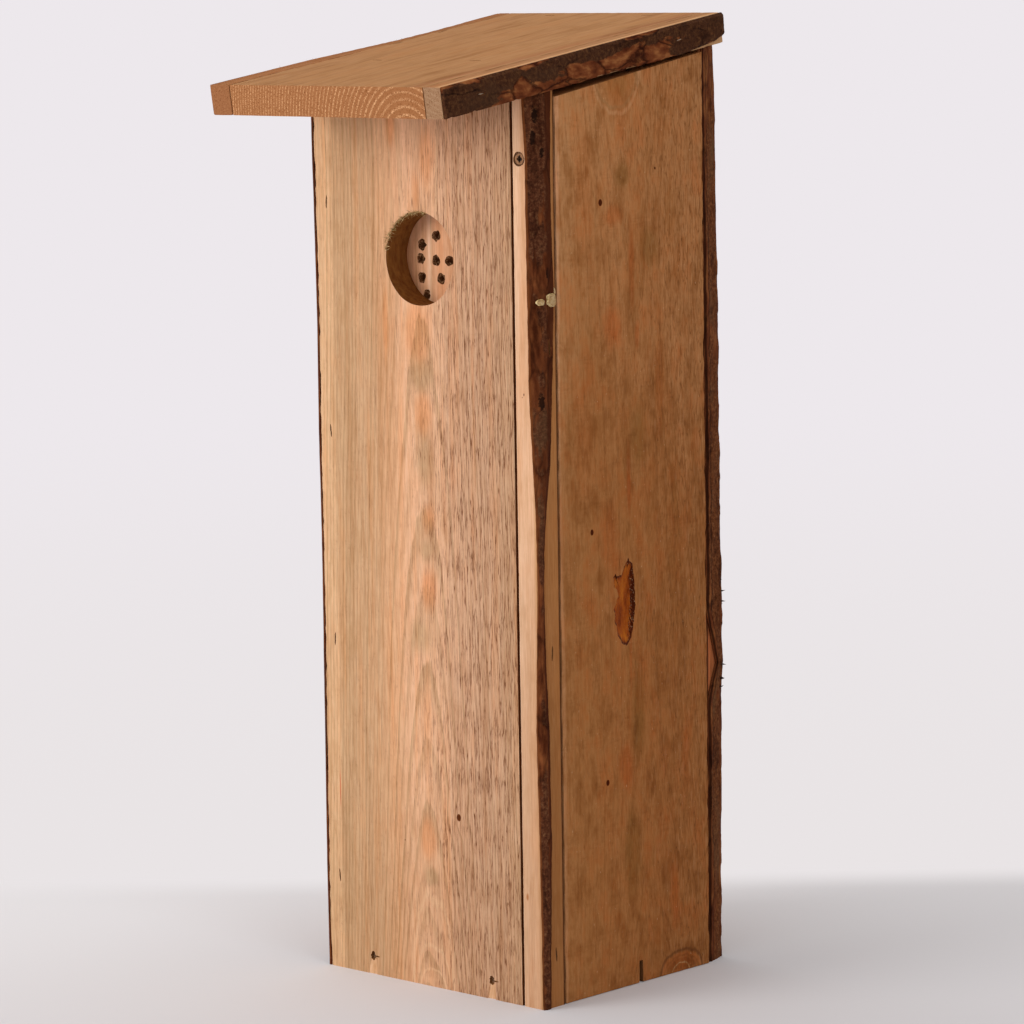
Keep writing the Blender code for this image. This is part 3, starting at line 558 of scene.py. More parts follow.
def wood(name, turn, heart, tones, span, late, ends, lean=0.0, first=3 * MM, power=1.0, rise=((0, 0), (1, 0)),
         rise_depth=0.0, height=0.5, torn=(2.0, 3.0), tear="8A6244", tear_run=0.06, tear_size=540, knots=(),
         stains=(), arches=(), mottle=("F6F2EC", "FFFAF6"), streaks=("EFE6DC", "FFF0E2"), streak_run=0.035,
         side_tone=None, waver_size=1.6 * MM, nap=0.3, saw_marks=0.2, lint=0.15, fibres="DCD3CB", gap_shade=None,
         seed=0):
    """Sawn softwood: growth rings round one pith, so every face is cut through the same log.

    turn takes the object to the log, whose z axis is the grain and whose x axis lies across the face; heart
    is a point on the pith, first the first ring's radius, and power widens the rings near it. tones run
    across span in the early wood, late darkens the late wood, ends are an end's wood and its thin ring lines.
    rise brings the pith nearer along the board, which draws arches. torn is where fissures start and are
    thickest, as shares of span; tear is their tone, tear_run how short they are, tear_size how fine. knots
    are places on the face and a half width, in millimetres. stains are soft patches (across, along, half
    width, half length, tint) and arches are single curved lines of the same form. streaks are tints along
    the grain, streak_run is how short they are, mottle is the tints of uneven handling, side_tone tints
    faces that look along x between two slopes, waver_size is how far the rings waver, nap, saw_marks and
    lint are how much of each the face shows, fibres is the tint between fibres, and gap_shade is painted
    shadow: a dark line along a gap beside the board (place in its depth, half width)."""
    made, tree, place = start_material(name)
    log = add(tree, "ShaderNodeMapping", Vector=place, Rotation=turn)
    axes = add(tree, "ShaderNodeSeparateXYZ", Vector=log)
    core = Euler(turn).to_matrix() @ Vector(heart)
    drift = add(tree, VECTOR, TIMES, i0=log, i1=(1, 1, 0.14))
    waver = noise(tree, drift, seed, 55, Detail=5, Roughness=0.62)

    # Growth rings, which bend round the knots
    share = calc(tree, OVER, axes.outputs["Z"], height)
    nearer = rise_curve(tree, share, rise, rise_depth)
    deep = calc(tree, LESS, axes.outputs["Y"], core.y)
    deep = calc(tree, LESS, calc(tree, SIZE, deep), nearer)
    middle = calc(tree, TIMES_PLUS, axes.outputs["Z"], lean, core.x - lean * core.z)
    side = calc(tree, LESS, axes.outputs["X"], middle)
    flat = add(tree, "ShaderNodeCombineXYZ", X=side, Y=deep)
    radius = add(tree, VECTOR, LENGTH, i0=flat).outputs["Value"]
    shift = calc(tree, TIMES_PLUS, waver, 2 * waver_size, -waver_size)
    radius = calc(tree, PLUS, radius, shift)
    knot_shade = None
    for x, z, size in knots:
        far = far_from(tree, log, waver, (x, z), (size, size / 0.8), 0.6)
        halo = eased(tree, far, 0.5, 5, 0.9 * size * MM, 0)
        radius = calc(tree, PLUS, radius, halo)
        shade = ramp(tree, far, ((0.30, "7A583C"), (0.60, "6A4628"), (0.90, "8A6242"), (1.0, "FFFFFF")))
        knot_shade = shade if knot_shade is None else tinted(tree, knot_shade, shade)
    turns = calc(tree, OVER, calc(tree, LARGER, radius, 0.1 * MM), first)
    turns = calc(tree, RAISED, turns, power)
    growth = calc(tree, {"operation": "FRACT"}, turns)
    year = calc(tree, {"operation": "FLOOR"}, turns)
    season = add(tree, "ShaderNodeTexWhiteNoise", {"noise_dimensions": "1D"}, W=year).outputs["Value"]

    # Early and late wood on the long faces, tinted across the board
    low, high = span
    width = scaled(tree, axes.outputs["X"], low, high)
    blur = noise(tree, drift, seed + 3, 26, Detail=4)
    width = calc(tree, PLUS, width, calc(tree, TIMES_PLUS, blur, 0.07, -0.035))
    base = ramp(tree, width, tones, smooth=True)
    dark = eased(tree, growth, 0.40, 0.86)
    closing = eased(tree, growth, 0.93, 1.0, 1, 0)
    dark = calc(tree, TIMES, dark, closing)
    dark = calc(tree, TIMES, dark, calc(tree, TIMES_PLUS, season, 0.75, 0.25))
    face = tinted(tree, base, colour(late), dark)

    # Soft streaks 5 to 10 mm wide along the grain
    long = add(tree, VECTOR, TIMES, i0=log, i1=(1, 1, streak_run))
    streak = noise(tree, long, seed + 9, 130, Detail=3, Roughness=0.6)
    streak = ramp(tree, streak, ((0.34, streaks[0]), (0.50, "FFFFFF"), (0.66, streaks[1])))
    face = tinted(tree, face, streak)

    # Patches of heartwood, blue-grey sapwood and handling
    for x, z, wide, high, tone in stains:
        far = far_from(tree, log, waver, (x, z), (wide, high), 1.6)
        inside = eased(tree, far, 1.1, 1.9, 1, 0)
        face = tinted(tree, face, colour(tone), inside)

    # Single curved lines of the figure, and uneven handling
    for x, z, wide, high, tone in arches:
        far = far_from(tree, log, waver, (x, z), (wide, high), 0.8)
        off = calc(tree, SIZE, calc(tree, LESS, far, 1.4))
        line = eased(tree, off, 0.01, 0.09, 0.5, 0)
        face = painted(tree, face, colour(tone), line)
    handled = noise(tree, log, seed + 2, 90, (1, 1, 0.45), Detail=5, Roughness=0.65)
    handled = ramp(tree, handled, ((0.36, mottle[0]), (0.50, "FFFFFF"), (0.64, mottle[1])))
    face = tinted(tree, face, handled)

    # Fibres a few tenths of a millimetre wide, drawn out along the grain
    thread = add(tree, VECTOR, TIMES, i0=log, i1=(1, 1, 0.06))
    fibre = noise(tree, thread, seed + 5, 1500, Detail=2)
    fine = ramp(tree, fibre, ((0.30, fibres), (0.62, "FFFFFF")))
    face = tinted(tree, face, fine)

    # Fissures under half a millimetre wide: they waver, fade every few millimetres and follow the late wood
    jitter = noise(tree, log, seed + 6, 380, (1, 1, 0.4), Detail=3, Roughness=0.6)
    rip = add(tree, VECTOR, TIMES_PLUS, i0=jitter.outputs["Color"], i1=(1.1 * MM, 1.1 * MM, 0), i2=log)
    rip = add(tree, VECTOR, TIMES, i0=rip, i1=(1, 1, tear_run))
    tearing = noise(tree, rip, seed + 7, tear_size, Detail=1, Roughness=0.5)
    crease = calc(tree, SIZE, calc(tree, LESS, tearing, 0.5))
    clump = noise(tree, log, seed + 8, 160, (1, 1, 0.2), Detail=2)
    breaks = add(tree, VECTOR, TIMES, i0=log, i1=(1, 1, 0.22))
    breaks = noise(tree, breaks, seed + 14, tear_size * 1.3, Detail=2)
    breaks = scaled(tree, breaks, 0.44, 0.64, 0.40, 1.0)
    where = eased(tree, width, torn[0], torn[1])
    where = calc(tree, PLUS, where, calc(tree, TIMES_PLUS, clump, 1.6, -0.8))
    where = calc(tree, TIMES_PLUS, dark, 0.25, where)
    where = scaled(tree, where, 0.0, 1.0)
    rift = scaled(tree, crease, 0.010, 0.055, 1, 0)
    rift = calc(tree, TIMES, calc(tree, TIMES, rift, breaks), where)
    face = painted(tree, face, colour(tear), rift)
    lifted = scaled(tree, crease, 0.07, 0.18, 0, 0.35)
    lifted = calc(tree, TIMES, lifted, where)
    face = add(tree, MIX, {"data_type": "RGBA", "blend_type": "SCREEN"}, Factor_Float=lifted, A_Color=face,
               B_Color=colour("6A5444"))

    # Band-saw marks a millimetre or two apart, broken where the nap hides them
    across = add(tree, VECTOR, TIMES, i0=log, i1=(0.16, 0.16, 1))
    saw = noise(tree, across, seed + 11, 620, Detail=1)
    cover = noise(tree, log, seed + 12, 90, Detail=3)
    marks = ramp(tree, saw, ((0.36, "E4DBD2"), (0.56, "FFFFFF")))
    shown = scaled(tree, cover, 0.44, 0.64, 0, saw_marks)
    face = tinted(tree, face, marks, shown)

    # Fuzzy nap in patches, and pale lint
    fuzz = noise(tree, log, seed + 13, 900, (1, 1, 0.35), Detail=3, Roughness=0.7)
    grey = scaled(tree, fuzz, 0.54, 0.72, 0, nap)
    grey = calc(tree, TIMES, grey, scaled(tree, cover, 0.40, 0.60))
    face = painted(tree, face, colour(tear), grey)
    shreds = noise(tree, log, seed + 16, 1000, (1, 1, 0.5), Detail=1)
    shreds = scaled(tree, shreds, 0.70, 0.78, 0, lint)
    face = painted(tree, face, colour("D8AE84"), shreds)
    if knot_shade is not None:
        face = tinted(tree, face, knot_shade)

    # Faces that look sideways, and a painted shadow line along a gap where one is wanted
    facing = add(tree, "ShaderNodeNewGeometry").outputs["True Normal"]
    turned = add(tree, "ShaderNodeMapping", {"vector_type": "VECTOR"}, Vector=facing, Rotation=turn)
    looks = add(tree, "ShaderNodeSeparateXYZ", Vector=turned)
    if side_tone is not None:
        start, full, tone = side_tone
        sideways = scaled(tree, looks.outputs["X"], start, full)
        face = tinted(tree, face, colour(tone), sideways)
    # Painted shadow: gap_shade darkens a line where a gap beside the board lies in shade.
    if gap_shade is not None:
        off = calc(tree, SIZE, calc(tree, LESS, axes.outputs["Y"], gap_shade[0]))
        darkening = eased(tree, off, 0.6 * gap_shade[1], gap_shade[1], 0.9, 0)
        face = painted(tree, face, colour("42200E"), darkening)

    # End grain: thin broken ring lines
    grit = noise(tree, place, seed + 15, 1300, Detail=3, Roughness=0.7)
    line = ramp(tree, growth, ((0.0, "FFFFFF"), (0.10, "FFFFFF"), (0.34, "000000"), (0.84, "000000"),
                               (1.0, "FFFFFF")))
    line = calc(tree, TIMES, line, scaled(tree, grit, 0.42, 0.60))
    line = calc(tree, TIMES, line, calc(tree, TIMES_PLUS, season, 0.6, 0.5))
    end = painted(tree, colour(ends[0]), colour(ends[1]), line)
    pores = ramp(tree, grit, ((0.32, "B59C84"), (0.46, "F6F0EA"), (0.68, "FFFFFF")))
    end = tinted(tree, end, pores)
    on_end = calc(tree, SIZE, looks.outputs["Z"])
    on_end = scaled(tree, on_end, 0.55, 0.8)
    whole = painted(tree, face, end, on_end)

    relief = calc(tree, TIMES_PLUS, rift, -0.9, fibre)
    relief = calc(tree, TIMES_PLUS, saw, saw_marks, relief)
    relief = calc(tree, TIMES_PLUS, fuzz, 0.4, relief)
    end_material(tree, whole, relief, 0.82, 0.4, 0.3 * MM, specular=0.05)
    return made


# How a board's log is turned, and the tones of the boards that the front hides
UPRIGHT_FRONT = (0, 0, 0)
UPRIGHT_SIDE = (0, 0, -math.pi / 2)
ALONG_ROOF = (math.pi / 2 - ROOF_SLOPE, 0, 0)
ALONG_DEPTH = (math.pi / 2, 0, 0)
PLAIN_LATE = "DADDD2"
PLAIN_ENDS = ("A2703F", "CE9C70")
PLAIN_TEAR = "7A5234"


def front_board_wood():
    """Rough-sawn larch, the front: orange early wood and greenish grey late wood in arches down the middle, a
    smooth pale edge on the left and torn grain on the right, as a blunt band saw leaves it."""
    tones = ((0.0, "E2B890"), (0.085, "E1B68E"), (0.105, "CEA680"), (0.28, "D0A782"), (0.36, "DCAC85"),
             (0.47, "E8B894"), (0.60, "E4B592"), (0.70, "D6AA8A"), (0.84, "CFA586"), (1.0, "C9A07F"))
    rise = ((0, 1), (0.06, 0.86), (0.2, 0.64), (0.5, 0.32), (0.8, 0.04), (0.9, 0.0), (0.96, 0.02), (1, 0.06))
    warm, grey = "FFECDA", "E2E6DE"
    stains = ((-22, 470, 4, 16, warm), (4, 452, 8, 24, warm), (-4, 432, 4, 16, "FFF0E2"),
              (-6, 358, 12, 22, warm), (-28, 363, 3, 32, warm), (-2, 334, 9, 10, grey),
              (-1, 313, 7, 14, warm), (-1, 286, 8, 20, grey), (1, 257, 7, 12, warm), (-1, 240, 8, 9, grey),
              (0, 219, 8, 16, "FFE6D2"), (-6, 193, 11, 14, grey), (-2, 82, 8, 14, warm), (0, 61, 6, 6, grey),
              (-6.5, 427, 0.5, 3.5, "8A6A50"), (-20.4, 78.9, 0.6, 0.7, "7A5840"),
              (-69.7, 101, 0.4, 12, "F0A894"), (0, 30, 120, 90, "F2F0EC"))
    arches = ((0, -2, 9, 12, "E8BE98"), (0, 0, 12, 23, "E4BA94"), (0, 6, 15, 42, "E4BA94"))
    return wood("rough_sawn_larch_front", UPRIGHT_FRONT, (-2 * MM, Y_FRONT + 46 * MM, 0), tones,
                (X_LEFT, FRONT_HIGH.x), "E2E4DC", ("AE764C", "DEAC80"), first=2.2 * MM, rise=rise,
                rise_depth=24 * MM, height=FRONT_HEIGHT, torn=(0.32, 0.84), tear="70442A", tear_run=0.05,
                tear_size=680, knots=((20.4, 96.5, 2.8),), stains=stains, arches=arches,
                side_tone=(0.5, 0.8, "86684E"), saw_marks=0.12, fibres="E8E1DA", seed=1)


def door_wood():
    """Rough-sawn larch, the door: browner and softly mottled, with orange and olive patches in its middle."""
    # The first two, lightest stops paint a highlight along the door's front arris.
    tones = ((0.0, "DAA47A"), (0.012, "D8A278"), (0.025, "C58E5E"), (0.15, "C38B5A"), (0.34, "C28857"),
             (0.53, "BE8453"), (0.7, "BA8050"), (1.0, "B98152"))
    rise = ((0, 1), (0.05, 0.7), (0.12, 0.42), (0.4, 0.12), (0.75, 0.1), (0.9, 0.35), (1, 1))
    knots = ((-24.3, 426.4, 2.2), (19.9, 442.6, 1.0), (-34.2, 251.8, 1.9), (-23.8, 114.8, 2.1))
    warm, olive = "FFE7D6", "E2E4D6"
    # The last stain, the widest, paints the door darker towards the bottom, as shade.
    stains = ((-15, 419, 9, 7, warm), (0, 392, 2.5, 26, warm), (-15, 361, 9, 16, "FFE2CE"),
              (4, 354, 2.5, 10, warm), (-11, 490, 15, 12, "EEE6D4"), (-7, 440, 7, 8, olive),
              (15, 400, 9, 14, olive), (-4, 277, 2, 22, warm), (-20, 246, 8, 20, "FFF0E6"),
              (-4, 185, 1.5, 26, warm), (-10, 122, 8, 15, "FFE4D2"), (2, 150, 6, 30, olive),
              (32, 420, 8, 30, "F0ECE2"), (-38, 440, 9, 50, "FFF4EC"), (-40, 300, 9, 40, "FFF4EC"),
              (34, 230, 7, 60, "F4F0E6"), (-4, 74, 8, 24, olive), (35, 5, 15, 7, "F8DAC0"),
              (30, 46, 5, 22, "FFE6D0"), (22, 330, 5, 30, "FFEEDC"), (40, 120, 4, 26, "FFEAD8"),
              (4, 300, 8, 24, olive), (0, 120, 220, 330, "E3D8C6"))
    arches = ((-12, 495, 19, 21, "D29E70"), (-12, 495, 17, 18, "A87E52"), (35, -2, 17, 14, "4A2410"),
              (35, -2, 15, 12, "B86A36"), (35, -2, 13, 10, "B06A3A"), (35, -2, 8, 7, "CCA472"))
    return wood("rough_sawn_larch_door", UPRIGHT_SIDE, (X_RIGHT - 38 * MM, 16 * MM, 0), tones,
                (DOOR_LOW.y, DOOR_HIGH.y), "F2F0EA", ("9A683F", "C89468"), lean=-0.034, rise=rise,
                first=2.6 * MM, rise_depth=18 * MM, height=DOOR_HIGH.z, torn=(-0.1, 1.5), tear="744624",
                tear_run=0.15, tear_size=620, knots=knots, stains=stains, arches=arches,
                mottle=("E5D9C9", "FFEEE1"), streaks=("EAE2D6", "FFF4EA"), streak_run=0.5,
                waver_size=2.6 * MM, nap=0.36, saw_marks=0.4, lint=0.4, fibres="F4F0EB", seed=11)


def wall_wood():
    """Rough-sawn larch, the left wall: plain face grain, seen only from that side."""
    tones = ((0.0, "BE8A5E"), (0.5, "C69064"), (1.0, "BC885C"))
    return wood("rough_sawn_larch_wall", UPRIGHT_SIDE, (X_LEFT - 40 * MM, 10 * MM, 0), tones,
                (WALL_LOW.y, WALL_HIGH.y), PLAIN_LATE, PLAIN_ENDS, rise=((0, 0.8), (0.3, 0.3), (1, 0)),
                rise_depth=14 * MM, height=FRONT_HEIGHT, torn=(0.5, 1.4), tear=PLAIN_TEAR, seed=17)


def back_wood():
    """Rough-sawn larch, the back: the bark side of the log, so its arches are wide."""
    tones = ((0.0, "BE8C62"), (0.5, "C8946A"), (0.93, "B07E54"), (1.0, "C07F56"))
    # gap_shade paints the shadow of the gap between the back board and the door.
    return wood("rough_sawn_larch_back", UPRIGHT_FRONT, (12 * MM, Y_BACK - 48 * MM, 0), tones,
                (X_LEFT, X_RIGHT), PLAIN_LATE, PLAIN_ENDS, rise=((0, 0), (0.6, 0.3), (1, 1)),
                rise_depth=20 * MM, height=FRONT_HEIGHT, torn=(0.2, 1.5), tear=PLAIN_TEAR,
                side_tone=(0.4, 0.8, "FFE4D6"), gap_shade=(BACK_LOW.y + 3.0 * MM, 1.3 * MM), seed=19)


def floor_wood():
    """Rough-sawn larch, the floor: its grain runs from front to back."""
    tones = ((0.0, "C6946A"), (1.0, "BE8C62"))
    return wood("rough_sawn_larch_floor", ALONG_DEPTH, (4 * MM, 0, 40 * MM), tones,
                (FLOOR_LOW.x, FLOOR_HIGH.x), PLAIN_LATE, PLAIN_ENDS, height=0.2, seed=23)


def roof_wood():
    """Rough-sawn larch, the roof: its end shows wide rings round a pith just below its underside, thin and
    pale against the brown, and its top is worn almost smooth."""
    tones = ((0.0, "AC7E55"), (0.5, "AD7F55"), (0.9, "AE8056"), (0.97, "A2704A"), (1.0, "AE8058"))
    heart = ROOF_PLACE @ Vector((55 * MM, -ROOF_OVER_FRONT, -12 * MM))
    return wood("rough_sawn_larch_roof", ALONG_ROOF, heart, tones, (ROOF_LOW.x, ROOF_HIGH.x), "F6F4F0",
                ("A67048", "E2AE80"), first=8.3 * MM, power=1.43, height=0.3, tear="9E7046", tear_run=0.15,
                streaks=("E6DCD0", "FFF8F0"), streak_run=0.12, waver_size=0.8 * MM, nap=0.2, saw_marks=0.1,
                fibres="F0EAE3", seed=29)


def roof_edge_wood():
    """Smooth reddish larch of the roof's left strip, with a rounded edge that keeps a film of inner bark."""
    tones = ((0.0, "9C663E"), (1.0, "A26E46"))
    heart = ROOF_PLACE @ Vector((-30 * MM, -ROOF_OVER_FRONT, -60 * MM))
    return wood("larch_with_waney_edge", ALONG_ROOF, heart, tones, (ROOF_LEFT_LOW.x, ROOF_LEFT_HIGH.x),
                "F0ECE6", ("9E6A46", "A4704C"), height=0.3, side_tone=(-0.10, -0.3, "B08A6E"),
                fibres="F0EAE3", seed=31)


def roof_sapwood():
    """Grey-brown sapwood next to the roof's bark; its end is dull and speckled."""
    tones = ((0.0, "AA7C56"), (0.6, "AC7E56"), (0.62, "A4744C"), (0.74, "C89C72"), (1.0, "D0A67C"))
    heart = ROOF_PLACE @ Vector((40 * MM, -ROOF_OVER_FRONT, -70 * MM))
    return wood("weathered_larch_sapwood", ALONG_ROOF, heart, tones, (ROOF_RIGHT_LOW.x, ROOF_RIGHT_HIGH.x),
                "F0ECE6", ("A27E60", "B08E70"), height=0.3, fibres="F0EAE3", seed=37)


def strip_wood():
    """Pale larch sapwood: smooth on its front face, with painted shade that browns the side facing the door.
    """
    # The brown last stop and side_tone paint the side that faces the door darker, as shade.
    tones = ((0.0, "E8BF9E"), (0.35, "E7BC9A"), (0.75, "E4B692"), (1.0, "C49262"))
    stains = ((74, 60, 30, 200, "E6E2DE"), (72.6, 328.5, 0.5, 0.9, "6A4630"), (71.4, 327, 0.3, 0.4, "8A6242"),
              (67, 233, 0.5, 1.6, "B48458"), (66.6, 228, 0.35, 1, "B88C60"), (70, 60, 1.2, 2.5, "D8B898"))
    # gap_shade paints the shadow of the gap between the strip's side and the door.
    return wood("pale_larch_sapwood", UPRIGHT_FRONT, (30 * MM, Y_FRONT + 60 * MM, 0), tones,
                (STRIP_LOW.x, STRIP_HIGH.x), "F2ECE4", ("B98A5E", "D0A276"), first=3.4 * MM, stains=stains,
                side_tone=(0.5, 0.8, "ECDCCA"), nap=0.1, tear="CC9C74", streaks=("F4E8DC", "FFF8EE"),
                waver_size=0.8 * MM, saw_marks=0.05, fibres="EEE8E2", gap_shade=(STRIP_HIGH.y, 0.9 * MM), seed=41)


def plug_wood():
    """Smooth pinkish larch of the block behind the entrance, with one lighter stripe."""
    tones = ((0.0, "E2AC86"), (0.34, "E6B08A"), (0.385, "FAD2B4"), (0.42, "E6B08A"), (1.0, "DCA680"))
    return wood("planed_larch_plug", UPRIGHT_FRONT, (20 * MM, -20 * MM, 0), tones, (PLUG_LOW.x, PLUG_HIGH.x),
                "EEE8DE", ("A8744A", "CC9A70"), first=3.6 * MM, nap=0.15, waver_size=1.0 * MM, saw_marks=0.1,
                tear="9A6844", fibres="EDE4DC", seed=43)


def bored_wood(name, dark, light, seed):
    """Wood that a bit, a nail or a staple has torn or burnished: dark to light, with loose fibre."""
    made, tree, place = start_material(name)
    cut = noise(tree, place, seed, 420, (1, 1, 0.25), Detail=4, Roughness=0.65)
    end_material(tree, ramp(tree, cut, ((0.34, dark), (0.66, light))), cut, 0.85, 0.5, 0.3 * MM,
                 specular=0.04)
    return made


def resin_wood():
    """Resin-soaked wood in the pocket: glowing orange brown with a dull shine, nearly black at its torn rim,
    and painted near black as shade on the wall that turns from the light, where pale crumbs of dry resin
    cling, painted bright as glints."""
    made, tree, place = start_material("resin_soaked_wood")
    flow = noise(tree, place, 2, 260, (1, 1, 0.3), Detail=4, Roughness=0.6)
    tone = ramp(tree, flow, ((0.34, "702C08"), (0.5, "9C4A12"), (0.66, "B8661C")))
    out = add(tree, "ShaderNodeSeparateXYZ", Vector=place).outputs["X"]
    grit = noise(tree, place, 6, 700, Detail=3)
    out = calc(tree, TIMES_PLUS, grit, 1.6 * MM, out)
    rim = eased(tree, out, X_RIGHT - 0.8 * MM, X_RIGHT + 0.5 * MM)
    facing = add(tree, "ShaderNodeSeparateXYZ",
                 Vector=add(tree, "ShaderNodeNewGeometry").outputs["True Normal"])
    # Painted shade: the pocket's wall that looks forward is painted near black.
    wall = scaled(tree, facing.outputs["Y"], -0.35, -0.8)
    dark = calc(tree, LARGER, rim, wall)
    tone = painted(tree, tone, colour("4E1E08"), dark)
    # Pale specks on that wall: crumbs of dry resin, painted bright as glints.
    crumbs_and_glints = noise(tree, place, 7, 1100, Detail=1)
    crumbs_and_glints = scaled(tree, crumbs_and_glints, 0.61, 0.70, 0, 0.5)
    crumbs_and_glints = calc(tree, TIMES, crumbs_and_glints, calc(tree, TIMES_PLUS, wall, 0.8, 0.12))
    tone = painted(tree, tone, colour("D8BC94"), crumbs_and_glints)
    end_material(tree, tone, flow, 0.5, 0.5, 0.3 * MM, specular=0.07)
    return made


def dried_resin():
    """Dried resin: a cloudy pale yellow crust at the rim of each drop, and a clearer brown skin over its
    middle, which faces the door's side."""
    made, tree, place = start_material("dried_resin")
    cloud = noise(tree, place, 4, 480, Detail=4, Roughness=0.65)
    tone = ramp(tree, cloud, ((0.38, "6E5228"), (0.48, "BC9C60"), (0.60, "E2CC98")))
    facing = add(tree, "ShaderNodeSeparateXYZ",
                 Vector=add(tree, "ShaderNodeNewGeometry").outputs["True Normal"])
    middle = eased(tree, facing.outputs["X"], 0.62, 0.92, 0, 0.6)
    tone = painted(tree, tone, colour("9C7244"), middle)
    end_material(tree, tone, cloud, 0.4, 0.5, 0.2 * MM, specular=0.5)
    return made


def bark_skin(name, stretch, plates, flakes, level, seed, low_flakes=0.0, about=0.0, run=(45, 80), cracks=0.8,
              bare_edge=(2.4, 0.10), lichen="664C32", lichen_from=-60, blots=(), seams=()):
    """Thin conifer bark as it grew: dark cork plates with cracks between them; where plates have flaked off
    it shows reddish inner bark, as it does along its sawn edges, for bare_edge's millimetres.

    stretch draws the bark out along the stem, plates and flakes are its tones, and a lower level means more
    flakes. low_flakes bares more near the layer's first edge, fading over run, in millimetres either way of
    about. cracks is how much of them shows. lichen is the tone of patches above lichen_from's millimetres,
    blots are torn black spots (height, share of the width, half height, half width), and seams are lines
    along the stem (share of the width, half width, tone)."""
    made, tree, place = start_material(name)
    long = add(tree, VECTOR, TIMES, i0=place, i1=stretch)
    warp = noise(tree, long, seed, 170, Detail=4, Roughness=0.65)
    bent = add(tree, VECTOR, TIMES_PLUS, i0=warp.outputs["Color"], i1=(5 * MM, 5 * MM, 5 * MM), i2=long)
    cells = add(tree, "ShaderNodeTexVoronoi", {"feature": "DISTANCE_TO_EDGE"}, Vector=bent, Scale=80)
    plate = add(tree, "ShaderNodeTexVoronoi", Vector=bent, Scale=80).outputs["Color"]
    crack = scaled(tree, cells.outputs["Distance"], 0.01, 0.06, 1, 0)
    patch = noise(tree, long, seed + 1, 55, Detail=5, Roughness=0.6)
    edge = add(tree, "ShaderNodeAttribute", {"attribute_name": "from_edge"}).outputs["Fac"]
    near = scaled(tree, edge, 0.3, bare_edge[0], bare_edge[1], 0)
    bared = calc(tree, PLUS, patch, near)
    across = add(tree, "ShaderNodeAttribute", {"attribute_name": "across"}).outputs["Fac"]
    low = eased(tree, across, 0.25, 0.9, low_flakes, 0)
    axes = add(tree, "ShaderNodeSeparateXYZ", Vector=place)
    away = calc(tree, SIZE, calc(tree, LESS, axes.outputs["Y"], about))
    here = eased(tree, away, run[0] * MM, run[1] * MM, 1, -0.6)
    bared = calc(tree, TIMES_PLUS, low, here, bared)
    bared = calc(tree, TIMES_PLUS, plate, 0.16, bared)
    bared = scaled(tree, bared, level + 0.08, level + 0.11)
    faded = noise(tree, long, seed + 4, 130, Detail=3)
    faded = scaled(tree, faded, 0.47, 0.60, 0.05, cracks)
    grain = noise(tree, place, seed + 2, 520, Detail=5, Roughness=0.72)
    cork = ramp(tree, grain, tuple(zip((0.34, 0.52, 0.70), plates)))
    inner = ramp(tree, noise(tree, long, seed + 3, 260, Detail=4), tuple(zip((0.34, 0.50, 0.66), flakes)))
    tone = painted(tree, cork, inner, bared)
    aged = noise(tree, long, seed + 5, 75, Detail=5, Roughness=0.65)
    grey = scaled(tree, aged, 0.50, 0.66, 0, 0.45)
    grey = calc(tree, TIMES, grey, scaled(tree, bared, 0, 1, 1, 0.2))
    above = eased(tree, axes.outputs["Z"], lichen_from * MM, (lichen_from + 50) * MM)
    grey = calc(tree, TIMES, grey, above)
    tone = painted(tree, tone, colour(lichen), grey)
    burnt = ramp(tree, aged, ((0.36, "A8988C"), (0.47, "FFFFFF")))
    tone = tinted(tree, tone, burnt)
    for height, share, high, wide in blots:
        up = calc(tree, LESS, axes.outputs["Z"], height * MM)
        out = calc(tree, LESS, across, share)
        spot = add(tree, "ShaderNodeCombineXYZ", X=calc(tree, OVER, up, high * MM),
                   Y=calc(tree, OVER, out, wide))
        far = add(tree, VECTOR, LENGTH, i0=spot).outputs["Value"]
        far = calc(tree, TIMES_PLUS, grain, 2.4, far)
        spot = scaled(tree, far, 1.9, 2.2, 0.85, 0)
        tone = painted(tree, tone, colour("180B06"), spot)
    for share, wide, shade in seams:
        off = calc(tree, TIMES_PLUS, patch, 0.1, across)
        off = calc(tree, SIZE, calc(tree, LESS, off, share + 0.05))
        seam = eased(tree, off, wide, 2.4 * wide, 0.8, 0)
        tone = painted(tree, tone, colour(shade), seam)
    kept_crack = calc(tree, LARGER, faded, calc(tree, TIMES, bared, cracks))
    cracked = calc(tree, TIMES, crack, kept_crack)
    tone = tinted(tree, tone, colour("6A5244"), cracked)
    relief = calc(tree, TIMES_PLUS, cracked, -0.8, grain)
    relief = calc(tree, TIMES_PLUS, bared, -0.5, relief)
    end_material(tree, tone, relief, 0.9, 0.8, 0.5 * MM, specular=0.06)
    return made


def dull_metal(name, tone, roughness):
    """Drawn or plated steel, dulled by handling and a little stained."""
    made, tree, place = start_material(name)
    stain = add(tree, NOISE, Vector=place, Scale=900, Detail=4)
    shade = ramp(tree, stain, ((0.35, "8C8278"), (0.6, "FFFFFF")))
    mixed = tinted(tree, colour(tone), shade)
    end_material(tree, mixed, stain, roughness, 0.3, 0.1 * MM, specular=0.3, metallic=0.6)
    return made


